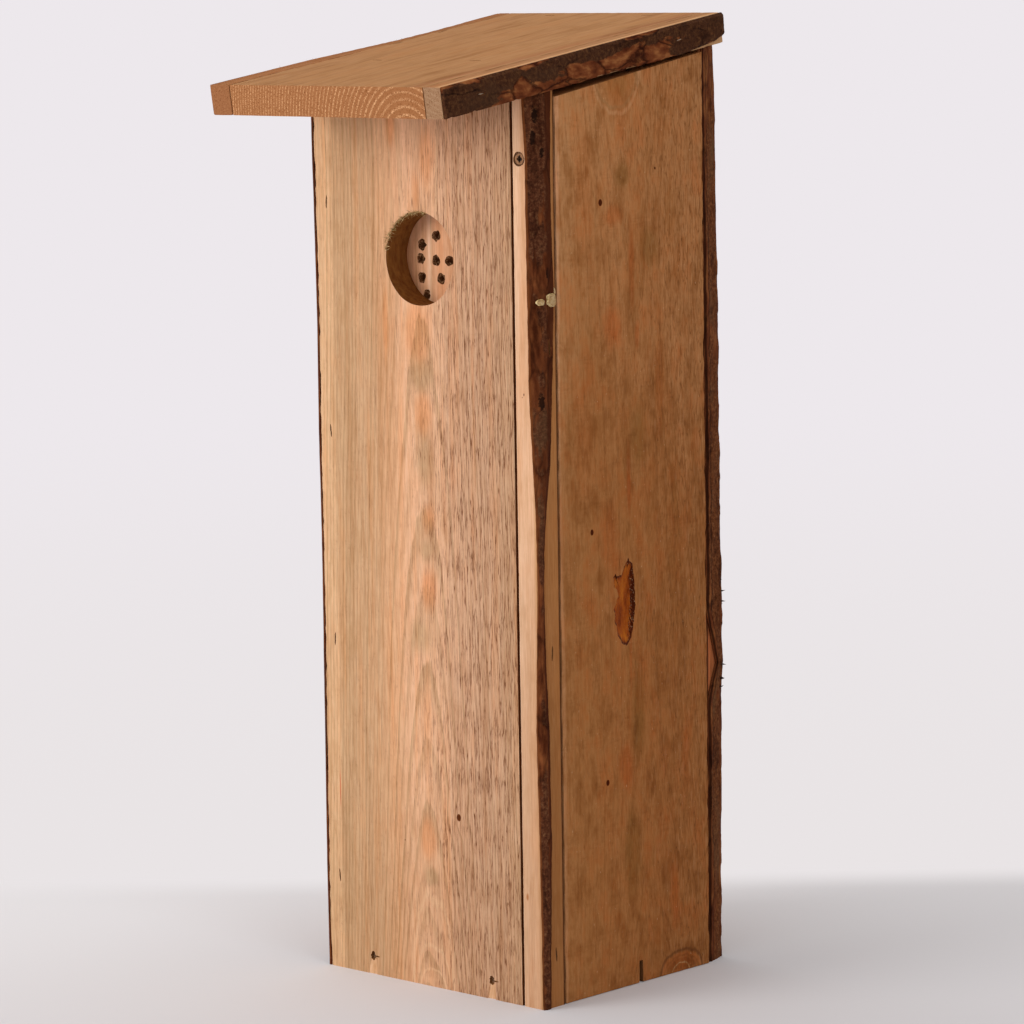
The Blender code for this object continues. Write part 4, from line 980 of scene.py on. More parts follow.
def screw_head(name):
    """A dull zinc screw head: paint-brown with handling, nearly black in its middle where the star recess
    lies.
    """
    made, tree, place = start_material(name)
    head = crown("pivot_screw_front", AHEAD)[0]
    spot = add(tree, VECTOR, LESS, i0=place, i1=tuple(head))
    far = add(tree, VECTOR, LENGTH, i0=add(tree, VECTOR, TIMES, i0=spot, i1=(1, 0, 1))).outputs["Value"]
    darkening = add(tree, NOISE, Vector=place, Scale=900, Detail=4)
    far = calc(tree, TIMES_PLUS, darkening, 2.4 * MM, far)
    share = scaled(tree, far, 1.2 * MM, 5.2 * MM)
    tone = ramp(tree, share, ((0.30, "24140A"), (0.44, "8A6242"), (0.62, "9A704C"), (0.80, "5C3A26"),
                              (1.0, "40261A")))
    end_material(tree, tone, darkening, 0.6, 0.3, 0.1 * MM, specular=0.2, metallic=0.2)
    return made


def straw(name, tone, root, seed):
    """Loose wood fibre: bleached at the tips, the wood's own colour lower down."""
    made, tree, place = start_material(name)
    mottle = noise(tree, place, seed, 800, Detail=2)
    end_material(tree, ramp(tree, mottle, ((0.36, root), (0.62, tone))), mottle, 0.8, 0.2, 0.1 * MM)
    return made


# Bark lines

def strip_wane(share):
    """The corner strip's bark line at a share of its height: where it meets the face and the side."""
    face = np.interp(share, STRIP_HEIGHT_SHARES, STRIP_FACE_SHARES) * STRIP_WIDTH
    side = np.interp(share, STRIP_HEIGHT_SHARES, STRIP_SIDE_SHARES) * BOARD
    return (X_RIGHT - face + wander(share, 41), Y_FRONT), (X_RIGHT, Y_FRONT + side + wander(share, 43))


def left_line(share):
    """Where the front board's wood ends under its bark, at a share of its height."""
    return X_LEFT + LEFT_BARK + SEAT + LEFT_WAVE * np.interp(share, LEFT_HEIGHT_SHARES, LEFT_WAVE_SHARES)


def back_wane(share, deep):
    """The back board's bark line at a share of its height, where deep runs from 0 inside to 1 at the back."""
    lean = BACK_WANE * np.interp(share, BACK_HEIGHT_SHARES, BACK_WANE_SHARES)
    return BACK_WOOD_EDGE - lean * deep, BACK_LOW.y + BOARD * deep


def thickness(most, places, shares):
    """A bark layer's thickness at a share of its length."""
    return lambda share: most * np.interp(share, places, shares)


# Cuts

def crown(name, out):
    """The middle of a fastener's outer end, and the way that this end runs."""
    spots = np.array([v.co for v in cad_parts[name].data.vertices])
    height = spots @ np.array(out)
    top = spots[height > height.max() - 0.1 * MM]
    middle = (top.min(0) + top.max(0)) / 2
    along = np.linalg.svd(top - middle, full_matrices=False)[2][0]
    return Vector(middle), Vector(along).normalized()


def torn_slit(centre, out, along, length, width, depth, seed, sides=20):
    """Rings of a torn slit in a face: a ragged lens that narrows as it goes in."""
    out, along = Vector(out), Vector(along)
    side = along.cross(out).normalized()
    turns = np.linspace(0, 2 * math.pi, sides, endpoint=False)
    steps = np.arange(sides)
    ragged = 1 + 0.22 * np.sin(steps * 2.7 + seed) + 0.1 * np.sin(steps * 5.1 + seed * 2)
    rings = []
    for share, grow in ((-1, 1.1), (0, 1.0), (0.6, 0.8), (1, 0.55)):
        middle = np.array(Vector(centre) - out * depth * share)
        ring = middle + np.outer(np.sin(turns) * length / 2 * grow, along)
        rings.append(ring + np.outer(np.cos(turns) * width / 2 * grow * ragged, side))
    return rings


def crown_slit(name, out, grow):
    """The slit that a staple leaves where it is driven in."""
    middle, along = crown(name, out)
    middle = middle + Vector(out) * 0.6 * MM
    return torn_slit(middle, out, along, SLIT_LENGTH * grow, SLIT_WIDTH * grow, SLIT_DEPTH, int(name[-1]))


def crown_slits(stem, count, out, torn, grow=1.0):
    """The slits of a row of staples, as cuts with torn walls."""
    return [(crown_slit(f"{stem}_{i + 1}", out, grow), torn) for i in range(count)]


def round_hole(centre, out, radius, depth, uneven, seed, sides=24, flare=1.0):
    """Rings of a bored hole, a little uneven."""
    out = Vector(out)
    across = (UP.cross(out) if abs(out.z) < 0.9 else RIGHT).normalized()
    up = out.cross(across)
    turns = np.linspace(0, 2 * math.pi, sides, endpoint=False)
    rings = []
    for i, share in enumerate(np.linspace(-0.25, 1, 9)):
        spot = np.column_stack([np.cos(turns), np.sin(turns), np.full(sides, i * 0.4)])
        mouth = radius * (1 + (flare - 1) * max(0.0, 1 - share * 4))
        size = mouth + uneven * lumps(spot, (0.45, 0.45, 1), seed)
        middle = np.array(Vector(centre) - out * depth * share)
        rings.append(middle + np.outer(size * np.cos(turns), across) + np.outer(size * np.sin(turns), up))
    return rings


def head_hole(name, out, face, radius, seed, flare=1.0):
    """The hole round a screw's head, in the face that lies at face's y."""
    head = crown(name, out)[0]
    return round_hole(Vector((head.x, face, head.z)), out, radius, HEAD_DEPTH, 0.3 * MM, seed, flare=flare)


def split_flake(x, top, width, depth):
    """Rings of a flake split off between a nail and the board's bottom edge."""
    rings = []
    for z, share in ((-3 * MM, 1.1), (0, 1.0), (top * 0.5, 0.85), (top, 0.6)):
        half = width / 2 * share
        deep = depth * share
        lean = (z - top) * 0.12
        rings.append([(x - half + lean, Y_FRONT - 2 * MM, z), (x + half + lean, Y_FRONT - 2 * MM, z),
                      (x + half * 0.8 + lean, Y_FRONT + deep, z), (x - half + lean, Y_FRONT + deep * 0.5, z)])
    return rings


def pierce(piece, cuts):
    """Cut closed bodies out of a piece; each cut is its rings and the material of its walls."""
    holes = [loft("cut", rings, wall) for rings, wall in cuts]
    for hole in holes:
        step = piece.modifiers.new("cut", "BOOLEAN")
        step.operation = "DIFFERENCE"
        step.solver = "EXACT"
        step.material_mode = "TRANSFER"
        step.object = hole
    apply_modifiers(piece)
    for hole in holes:
        bpy.data.objects.remove(hole)
    return piece


# Loose fibre, by Geometry Nodes

def fibre_tree():
    """Tapered fibres that stand on a carrier's faces, each bent, turned and tilted at random."""
    tree = bpy.data.node_groups.new("loose_fibres", "GeometryNodeTree")
    inputs = (("Carrier", "NodeSocketGeometry"), ("Density", "NodeSocketFloat"),
              ("Length", "NodeSocketFloat"), ("Thickness", "NodeSocketFloat"), ("Bend", "NodeSocketFloat"),
              ("Tilt", "NodeSocketFloat"), ("Seed", "NodeSocketInt"), ("Surface", "NodeSocketMaterial"))
    for label, kind in inputs:
        tree.interface.new_socket(label, in_out="INPUT", socket_type=kind)
    tree.interface.new_socket("Fibres", in_out="OUTPUT", socket_type="NodeSocketGeometry")
    given = add(tree, "NodeGroupInput").outputs
    roots = add(tree, "GeometryNodeDistributePointsOnFaces", Mesh=given["Carrier"], Density=given["Density"],
                Seed=given["Seed"])
    spike = add(tree, "GeometryNodeMeshCone", Vertices=4, Side_Segments=5, Radius_Top=0.02 * MM,
                Radius_Bottom=given["Thickness"], Depth=given["Length"])
    height = add(tree, "ShaderNodeSeparateXYZ", Vector=add(tree, "GeometryNodeInputPosition")).outputs["Z"]
    share = calc(tree, OVER, height, given["Length"])
    curl = calc(tree, TIMES, calc(tree, TIMES, share, height), given["Bend"])
    curl = add(tree, "ShaderNodeCombineXYZ", X=curl)
    spike = add(tree, "GeometryNodeSetPosition", Geometry=spike, Offset=curl)
    low = add(tree, "ShaderNodeCombineXYZ", X=calc(tree, TIMES, given["Tilt"], -1),
              Y=calc(tree, TIMES, given["Tilt"], -1))
    high = add(tree, "ShaderNodeCombineXYZ", X=given["Tilt"], Y=given["Tilt"], Z=2 * math.pi)
    angles = add(tree, "FunctionNodeRandomValue", {"data_type": "FLOAT_VECTOR"}, Min=low, Max=high,
                 Seed=given["Seed"])
    angles = add(tree, "FunctionNodeEulerToRotation", Euler=angles)
    turned = add(tree, "FunctionNodeRotateRotation", {"rotation_space": "LOCAL"},
                 Rotation=roots.outputs["Rotation"], Rotate_By=angles)
    grown = add(tree, "FunctionNodeRandomValue", {"data_type": "FLOAT"}, Min_001=0.2, Max_001=1.0,
                Seed=calc(tree, PLUS, given["Seed"], 1))
    fibres = add(tree, "GeometryNodeInstanceOnPoints", Points=roots, Instance=spike, Rotation=turned,
                 Scale=grown)
    fibres = add(tree, "GeometryNodeRealizeInstances", Geometry=fibres)
    fibres = add(tree, "GeometryNodeSetMaterial", Geometry=fibres, Material=given["Surface"])
    add(tree, "NodeGroupOutput", Fibres=fibres)
    return tree


def band(name, points, side, out, width):
    """A narrow carrier along points, its faces towards out; side lies across it."""
    points, side, out = np.asarray(points), np.asarray(side, float), np.asarray(out, float)
    edges = np.concatenate([points - side * width / 2, points + side * width / 2])
    count = len(points)
    faces = [(i, i + 1, count + i + 1, count + i) for i in range(count - 1)]
    mesh = bpy.data.meshes.new(name)
    mesh.from_pydata(edges.tolist(), [], faces)
    mesh.update()
    wanted = out if out.ndim == 1 else out[0]
    if np.dot(np.array(mesh.polygons[0].normal), wanted) < 0:
        mesh.flip_normals()
    return new_piece(name, mesh)


def grow_fibres(carrier, body, slot, surface, per_cm2, length, thickness, bend=0.6, tilt=0.6, seed=1):
    """Fibres on a carrier, as a plain mesh."""
    step = carrier.modifiers.new("fibres", "NODES")
    step.node_group = FIBRES
    wanted = {"Density": per_cm2 * 1e4, "Length": length, "Thickness": thickness, "Bend": bend, "Tilt": tilt,
              "Seed": seed, "Surface": surface}
    for item in FIBRES.interface.items_tree:
        if item.name in wanted:
            step[item.identifier] = wanted[item.name]
    carrier.update_tag()
    return settle(apply_modifiers(carrier), body, slot)


# Pieces

def make_front_board(surface, torn, bored, pale):
    """The front board: the entrance, staple slits, and two nails that split its lower edge."""
    steps = (FACE_STEP, 3 * MM, HIDDEN_STEP, 3 * MM)

    def corners(share):
        left = left_line(share)
        return (left, Y_FRONT), (FRONT_HIGH.x, Y_FRONT), (FRONT_HIGH.x, FRONT_HIGH.y), (left, FRONT_HIGH.y)
    piece = board("front_board_face", corners, steps, under_roof, LENGTH_STEP, surface,
                  chip=(0.5 * MM, 0.2 * MM, 0.5 * MM, 0.5 * MM), seed=3)
    cuts = [(round_hole(ENTRANCE, AHEAD, HOLE_RADIUS, THROUGH, 0.3 * MM, 51, sides=96), bored)]
    cuts += crown_slits("front_staple", 4, AHEAD, torn, 0.9)
    for i, flake in enumerate(((7 * MM, 0.7 * MM), (6.5 * MM, 1.5 * MM))):
        middle = crown(f"floor_nail_front_{i + 1}", AHEAD)[0]
        middle.y = Y_FRONT
        split = (torn_slit(middle, AHEAD, UP, 5.5 * MM, 3.6 * MM, 2.0 * MM, i + 7), torn)
        crack = (torn_slit(middle + RIGHT * 2.2 * MM, AHEAD, RIGHT, 6 * MM, 0.9 * MM, 0.8 * MM, i + 3), torn)
        flaked = (split_flake(middle.x + 0.8 * MM, middle.z - 1.5 * MM, *flake), pale)
        cuts += [split, crack, flaked]
    return settle(pierce(piece, cuts), "box", "rough_sawn_softwood", "front_board")


def make_strip(surface, torn):
    """The corner strip, whose outer corner runs along the bark's uneven line."""
    def corners(share):
        face, side = strip_wane(share)
        return (STRIP_LOW.x, Y_FRONT), face, side, (X_RIGHT, STRIP_HIGH.y), (STRIP_LOW.x, STRIP_HIGH.y)
    steps = (0.9 * MM, 2 * MM, 1.5 * MM, 3 * MM, 3 * MM)
    piece = board("corner_strip_wood", corners, steps, under_roof, LENGTH_STEP, surface, rough=0.12 * MM,
                  chip=(0.12 * MM, 0.15 * MM, 0.2 * MM, 0.3 * MM, 0.3 * MM), seed=13)
    cuts = [(head_hole("pivot_screw_front", AHEAD, Y_FRONT, 3.6 * MM, 55, 1.08), torn)]
    cuts += crown_slits("strip_staple", 3, RIGHT, torn)
    return settle(pierce(piece, cuts), "box", "pale_sapwood", "corner_strip")


def make_strip_bark(surface, torn):
    """The bark on the corner strip's outer corner."""
    thick = thickness(STRIP_BARK, STRIP_HEIGHT_SHARES, STRIP_BARK_SHARES)
    piece = bark_layer("corner_bark", strip_wane, thick, STRIP_BARK, BARK_LIP, under_roof, surface, 61)
    cuts = [(head_hole("pivot_screw_front", AHEAD, Y_FRONT, 3.7 * MM, 55), torn)]
    cuts += crown_slits("strip_staple", 1, RIGHT, torn)
    return settle(pierce(piece, cuts), "box", "bark", "corner_strip_bark")


def make_left_bark(surface):
    """The thin bark on the front board's left edge."""
    def line(share):
        x = left_line(share)
        return (x, FRONT_HIGH.y), (x, Y_FRONT)
    thick = thickness(LEFT_BARK, LEFT_HEIGHT_SHARES, LEFT_BARK_SHARES)
    piece = bark_layer("front_edge_bark", line, thick, LEFT_BARK, 1.2 * MM, under_roof, surface, 71,
                       relief=0.5 * MM)
    return settle(piece, "box", "bark", "front_board_bark")


def make_back_board(surface, torn, bored):
    """The back board, with its hanging hole and its bark edge's line."""
    def corners(share):
        return (WALL_LOW.x, BACK_LOW.y), back_wane(share, 0), back_wane(share, 1), (WALL_LOW.x, Y_BACK)
    steps = (HIDDEN_STEP, 2 * MM, 2.5 * MM, 4 * MM)
    piece = board("back_board_wood", corners, steps, under_roof, LENGTH_STEP, surface, seed=17)
    cuts = [(round_hole(HANG_HOLE, -AHEAD, HANG_RADIUS, THROUGH, 0.15 * MM, 57), bored),
            (head_hole("pivot_screw_rear", -AHEAD, Y_BACK, 3.9 * MM, 59), torn)]
    cuts += crown_slits("back_staple", 4, -AHEAD, torn)
    for i in range(2):
        middle = crown(f"floor_nail_back_{i + 1}", -AHEAD)[0]
        middle.y = Y_BACK
        cuts.append((torn_slit(middle, -AHEAD, UP, 5 * MM, 3.6 * MM, 2.0 * MM, i + 5), torn))
    return settle(pierce(piece, cuts), "box", "rough_sawn_softwood", "back_board")


def make_back_bark(surface, torn):
    """The bark on the back board's edge, behind the door."""
    def line(share):
        bare = np.interp(share, BACK_HEIGHT_SHARES, BACK_BARE_SHARES)
        return back_wane(share, bare), back_wane(share, 1)
    thick = thickness(BACK_BARK, BACK_HEIGHT_SHARES, BACK_BARK_SHARES)
    piece = bark_layer("back_edge_bark", line, thick, BACK_BARK, BARK_LIP, under_roof, surface, 81,
                       most_y=Y_BACK)
    cut = (head_hole("pivot_screw_rear", -AHEAD, Y_BACK, 4.1 * MM, 59), torn)
    return settle(pierce(piece, [cut]), "box", "bark", "back_board_bark")


def make_wall(surface):
    """The left wall."""
    steps = (3 * MM, 6 * MM, 3 * MM, 2.5 * MM)
    piece = board("left_wall_wood", rectangle(WALL_LOW, WALL_HIGH), steps, under_roof, LENGTH_STEP, surface,
                  seed=19)
    return settle(piece, "box", "rough_sawn_softwood", "left_wall")


def make_floor(surface):
    """The floor board, whose length runs from front to back."""
    low = Vector((FLOOR_LOW.x, FLOOR_LOW.z))
    high = Vector((FLOOR_HIGH.x, FLOOR_HIGH.z))
    place = Matrix(((1, 0, 0, 0), (0, 0, 1, FLOOR_LOW.y), (0, 1, 0, 0), (0, 0, 0, 1)))
    length = FLOOR_HIGH.y - FLOOR_LOW.y
    steps = (3 * MM, 4 * MM, 3 * MM, 4 * MM)
    piece = board("floor_board_wood", rectangle(low, high), steps, lambda x, y: length, LENGTH_STEP, surface,
                  seed=21, place=place)
    return settle(piece, "box", "rough_sawn_softwood", "floor_board")


def make_plug(surface, torn):
    """The block behind the entrance, with its pilot holes torn a little by the bit."""
    steps = (2.5 * MM, 4 * MM, 5 * MM, 4 * MM)
    height = PLUG_HIGH.z - PLUG_LOW.z
    piece = board("entrance_block", rectangle(PLUG_LOW, PLUG_HIGH), steps, lambda x, y: height, 2.5 * MM,
                  surface, rough=0.12 * MM, seed=25, place=Matrix.Translation((0, 0, PLUG_LOW.z)))
    near = Vector((ENTRANCE.x, PLUG_LOW.y, ENTRANCE.z))
    cuts = []
    for i, (across, up) in enumerate(PILOT_SHARES):
        middle = near + Vector((across, 0, up)) * HOLE_RADIUS
        hole = round_hole(middle, AHEAD, PILOT_RADIUS, THROUGH, 0.8 * MM, 91 + i, sides=28, flare=1.15)
        cuts.append((hole, torn))
    return settle(pierce(piece, cuts), "box", "pale_sapwood", "entrance_plug")


def door_slot():
    """Rings of the saw slot in the door's bottom edge, rounded at its top."""
    rings = []
    for z, half in ((-4 * MM, 1.8 * MM), (2 * MM, 1.6 * MM), (11.4 * MM, 1.5 * MM), (12.4 * MM, 1.2 * MM)):
        rings.append([(x, SLOT_MIDDLE + side * half, z) for x, side in
                      ((DOOR_LOW.x - MM, -1), (X_RIGHT + MM, -1), (X_RIGHT + MM, 1), (DOOR_LOW.x - MM, 1))])
    return rings


def resin_pocket():
    """Rings of the resin pocket: a ragged outline, steepest on the side towards the back."""
    outline = np.array([(across * POCKET_WIDTH, up * POCKET_HEIGHT) for across, up in POCKET_SHARES]) * MM
    shares = np.linspace(0, 1, 9, endpoint=False)[:, None]
    fine = np.concatenate([a + (b - a) * shares for a, b in zip(outline, np.roll(outline, -1, 0))])
    spots = np.column_stack([fine, np.zeros(len(fine))])
    ragged = 0.5 * MM * lumps(spots, (2.2 * MM, 2.2 * MM, 1), 97)
    ragged = ragged + 0.5 * MM * lumps(spots, (0.9 * MM, 0.9 * MM, 1), 98)
    fine += ragged[:, None] * fine / np.linalg.norm(fine, axis=1, keepdims=True)
    steep = fine[:, 0].max() * 0.65
    middle = POCKET_MIDDLE
    rings = []
    for deep, grow in ((-1, 1.0), (0, 1.0), (1.1, 0.9), (2.0, 0.8), (2.8, 0.6), (3.1, 0.3)):
        rings.append([(middle.x - deep * MM, middle.y + steep + (y - steep) * grow, middle.z + z * grow)
                      for y, z in fine])
    return rings


def make_door(surface, torn, resin):
    """The side door, cut to the roof's slope, with its slot and resin pocket."""
    front_top = under_roof(0, DOOR_LOW.y) + SEAT - DOOR_CLEARANCE
    slope = (DOOR_HIGH.z - front_top) / (DOOR_HIGH.y - DOOR_LOW.y)
    steps = (3 * MM, FACE_STEP, 3 * MM, HIDDEN_STEP)
    piece = board("side_door_wood", rectangle(DOOR_LOW, DOOR_HIGH), steps,
                  lambda x, y: front_top + (y - DOOR_LOW.y) * slope - DOOR_LOW.z, LENGTH_STEP, surface,
                  chip=0.5 * MM, seed=23, place=Matrix.Translation((0, 0, DOOR_LOW.z)))
    cuts = [(door_slot(), torn), (resin_pocket(), resin)]
    return settle(pierce(piece, cuts), "door", "rough_sawn_softwood", "side_door")


# Roof pieces, in a board's own axes: x across, y up from the underside, z along the slope

ROOF_BOARD_AXES = Matrix(((1, 0, 0, 0), (0, 0, 1, 0), (0, 1, 0, 0), (0, 0, 0, 1)))
ROOF_LOCAL = ROOF_PLACE @ Matrix.Translation((0, -ROOF_OVER_FRONT, 0)) @ ROOF_BOARD_AXES


def roof_length(x, y):
    """How long the roof's boards are, everywhere the same."""
    return ROOF_LENGTH


def make_roof_board(surface, torn):
    """The roof's wide board."""
    low, high = Vector((ROOF_LOW.x, 0)), Vector((ROOF_HIGH.x, BOARD))
    steps = (HIDDEN_STEP, 2 * MM, 2 * MM, 2 * MM)
    piece = board("roof_wood", rectangle(low, high), steps, roof_length, LENGTH_STEP, surface, rough=0.2 * MM,
                  chip=0.5 * MM, seed=31, place=ROOF_LOCAL)
    cuts = crown_slits("roof_top_staple", 6, ROOF_OUT, torn)
    return settle(pierce(piece, cuts), "box", "rough_sawn_softwood", "roof_board")


def make_roof_left(surface, torn):
    """The roof's left strip, whose upper edge keeps the log's rounding."""
    left, right = ROOF_LEFT_LOW.x, ROOF_LEFT_HIGH.x

    def corners(share):
        wane = np.interp(share, ROOF_LENGTH_SHARES, ROOF_WANE_SHARES)
        run = ROOF_WANE_WIDTH * wane + wander(share, 45, 0.8 * MM) * wane
        drop = ROOF_WANE_DROP * wane
        return ((left, 0), (right, 0), (right, BOARD), (left + run, BOARD),
                (left + run * 0.4, BOARD - drop * 0.35), (left, BOARD - drop))
    steps = (3 * MM, 3 * MM, 2 * MM, 1.5 * MM, 1.5 * MM, 3 * MM)
    piece = board("roof_left_wood", corners, steps, roof_length, 1.3 * MM, surface, rough=0.2 * MM,
                  chip=0.8 * MM, seed=33, place=ROOF_LOCAL)
    cuts = crown_slits("roof_left_staple", 2, -RIGHT, torn)
    return settle(pierce(piece, cuts), "box", "rough_sawn_softwood", "roof_strip_left")


def make_roof_right(surface):
    """The roof's right strip, under its bark."""
    low, high = Vector((ROOF_RIGHT_LOW.x, 0)), Vector((ROOF_RIGHT_HIGH.x, BOARD))
    piece = board("roof_right_wood", rectangle(low, high), (3 * MM, 2 * MM, 2 * MM, 3 * MM), roof_length,
                  LENGTH_STEP, surface, rough=0.2 * MM, chip=0.6 * MM, seed=35, place=ROOF_LOCAL)
    return settle(piece, "box", "rough_sawn_softwood", "roof_strip_right")


def make_roof_bark(surface, torn):
    """The bark along the roof's right edge."""
    def line(share):
        bare = np.interp(share, ROOF_LENGTH_SHARES, ROOF_BARE_SHARES) + wander(share, 47, 0.03, 0.02)
        return (ROOF_RIGHT_HIGH.x, BOARD * max(0.0, bare)), (ROOF_RIGHT_HIGH.x, BOARD)
    thick = thickness(ROOF_BARK, ROOF_LENGTH_SHARES, ROOF_BARK_SHARES)
    piece = bark_layer("roof_bark", line, thick, ROOF_BARK, 1.0 * MM, roof_length, surface, 83,
                       place=ROOF_LOCAL)
    cuts = crown_slits("roof_right_staple", 2, RIGHT, torn, 0.6)
    return settle(pierce(piece, cuts), "box", "bark", "roof_strip_bark")


# Small things on the faces

def crust(name, centre, out, size, surface, seed, turn=0.0):
    """A dried drop: a lumpy cushion, flat against what carries it, turned in that plane."""
    out = Vector(out).normalized()
    level = (UP - out * UP.dot(out)).normalized()
    up = level * math.cos(turn) + level.cross(out) * math.sin(turn)
    across = up.cross(out)
    turns = np.linspace(0, 2 * math.pi, 24, endpoint=False)
    rings = []
    profile = ((0.9, -0.2), (1.0, 0.1), (0.93, 0.34), (0.76, 0.5), (0.5, 0.46), (0.25, 0.52), (0.03, 0.54))
    for grow, lift in profile:
        spot = np.column_stack([np.cos(turns), np.sin(turns), np.full(len(turns), grow)])
        uneven = 1 + 0.22 * lumps(spot, (0.6, 0.6, 1), seed)
        ring = np.array(Vector(centre)) + np.outer(np.cos(turns) * grow * uneven * size[0] / 2, across)
        ring = ring + np.outer(np.sin(turns) * grow * uneven * size[1] / 2, up)
        rings.append(ring + np.outer(lift * min(size) * 0.5 * (0.8 + 0.4 * (uneven - 0.8)), out))
    return settle(loft(name, rings, surface), "box", "pale_sapwood")


def fibres_round_entrance(*surfaces):
    """Torn fibres on the upper left part of the entrance's edge, in more than one tone."""
    turns = np.linspace(math.radians(78), math.radians(172), 40)
    points = [ENTRANCE + Vector((math.cos(t), 0, math.sin(t))) * (HOLE_RADIUS + 0.1 * MM) for t in turns]
    inward = np.array([[-math.cos(t) * 0.2, -1, -math.sin(t) * 0.2] for t in turns])
    side = np.array([[math.cos(t) * 0.7, -0.7, math.sin(t) * 0.7] for t in turns])
    for seed, surface in enumerate(surfaces):
        carrier = band(f"entrance_fibres_{seed + 1}", [list(p) for p in points], side, inward, 1.5 * MM)
        grow_fibres(carrier, "box", "rough_sawn_softwood", surface, 230, 3.4 * MM, 0.18 * MM, tilt=1.5,
                    seed=5 + seed)


def fibres_in_pilot_holes(surface):
    """Torn fibres in the pilot holes that show through the entrance."""
    near = Vector((ENTRANCE.x, PLUG_LOW.y + 0.1 * MM, ENTRANCE.z))
    turns = np.linspace(0, 2 * math.pi, 13)
    for i, (across, up) in enumerate(PILOT_SHARES[:8]):
        middle = near + Vector((across, 0, up)) * HOLE_RADIUS
        points = [list(middle + Vector((math.cos(t), 0, math.sin(t))) * PILOT_RADIUS) for t in turns]
        inward = np.array([[-math.cos(t), -0.6, -math.sin(t)] for t in turns])
        side = np.tile([0.0, 1.0, 0.0], (len(turns), 1))
        carrier = band(f"pilot_fibres_{i + 1}", points, side, inward, 0.8 * MM)
        grow_fibres(carrier, "box", "pale_sapwood", surface, 150, 2.2 * MM, 0.2 * MM, tilt=1.0, seed=20 + i)


def fibres_on_roof(surface):
    """Splinters along the roof's left and rear edges, where the saw tore the arris."""
    shares = np.linspace(0.02, 0.985, 80)
    wane = np.interp(shares, ROOF_LENGTH_SHARES, ROOF_WANE_SHARES)
    spots = [Vector((ROOF_LEFT_LOW.x + 0.9 * MM + ROOF_WANE_WIDTH * w, BOARD - 0.5 * MM, s * ROOF_LENGTH))
             for s, w in zip(shares, wane)]
    edge = [list(ROOF_LOCAL @ spot) for spot in spots]
    carrier = band("roof_edge_fibres", edge, RIGHT, ROOF_OUT, 1.0 * MM)
    grow_fibres(carrier, "box", "rough_sawn_softwood", surface, 34, 1.2 * MM, 0.2 * MM, bend=0.9, tilt=1.2,
                seed=9)
    rear = [list(ROOF_LOCAL @ Vector((x, BOARD * 0.5, ROOF_LENGTH - 1.5 * MM)))
            for x in np.linspace(ROOF_LOW.x, ROOF_HIGH.x, 30)]
    carrier = band("roof_rear_fibres", rear, ROOF_OUT, ROOF_ALONG, BOARD * 0.9)
    grow_fibres(carrier, "box", "rough_sawn_softwood", surface, 9, 1.1 * MM, 0.13 * MM, tilt=0.9, seed=12)


def fibres_on_bark(surface):
    """Curled bast fibres on the outer edge of the back board's bark."""
    heights = np.linspace(150 * MM, 215 * MM, 30)
    points = [[back_wane(z / FRONT_HEIGHT, 0.88)[0] + 2.0 * MM, Y_BACK - 2.1 * MM, z] for z in heights]
    carrier = band("bark_fibres", points, Vector((0, 1, 0)), RIGHT, 1.0 * MM)
    grow_fibres(carrier, "box", "bark", surface, 15, 4.2 * MM, 1.0 * MM, bend=0.3, tilt=0.15, seed=7)


def fibres_round_screw(surface):
    """The ring of torn wood that the screw's head has raised."""
    head = crown("pivot_screw_front", AHEAD)[0]
    turns = np.linspace(0, 2 * math.pi, 25)
    radius = 3.5 * MM
    points = [[head.x + radius * math.cos(t), Y_FRONT + 0.5 * MM, head.z + radius * math.sin(t)]
              for t in turns]
    inward = np.array([[-math.cos(t), -0.5, -math.sin(t)] for t in turns])
    side = np.tile([0.0, 1.0, 0.0], (len(turns), 1))
    carrier = band("screw_fibres", points, side, inward, 0.8 * MM)
    grow_fibres(carrier, "box", "pale_sapwood", surface, 200, 1.2 * MM, 0.16 * MM, tilt=0.6, seed=15)


set_camera()
set_lights()
studio_floor()
FIBRES = fibre_tree()

LARCH_FRONT = front_board_wood()
LARCH_DOOR = door_wood()
LARCH_WALL = wall_wood()
LARCH_BACK = back_wood()
LARCH_FLOOR = floor_wood()
LARCH_ROOF = roof_wood()
LARCH_ROOF_EDGE = roof_edge_wood()
ROOF_SAPWOOD = roof_sapwood()
SAPWOOD = strip_wood()
PLUG_WOOD = plug_wood()
UPRIGHT_BARK = bark_skin("larch_bark_upright", (1, 1, 0.3), ("3A1E10", "5E3420", "805A3C"),
                         ("50240F", "68361C", "824A28"), 0.56, 3, cracks=0.45, lichen_from=230,
                         blots=((474, 0.40, 5, 0.13), (463, 0.28, 5, 0.11), (455, 0.62, 3, 0.10),
                                (325, 0.50, 5, 0.16), (392, 0.75, 4, 0.08)),
                         seams=((0.01, 0.03, "7A4422"), (0.88, 0.07, "46200F")))
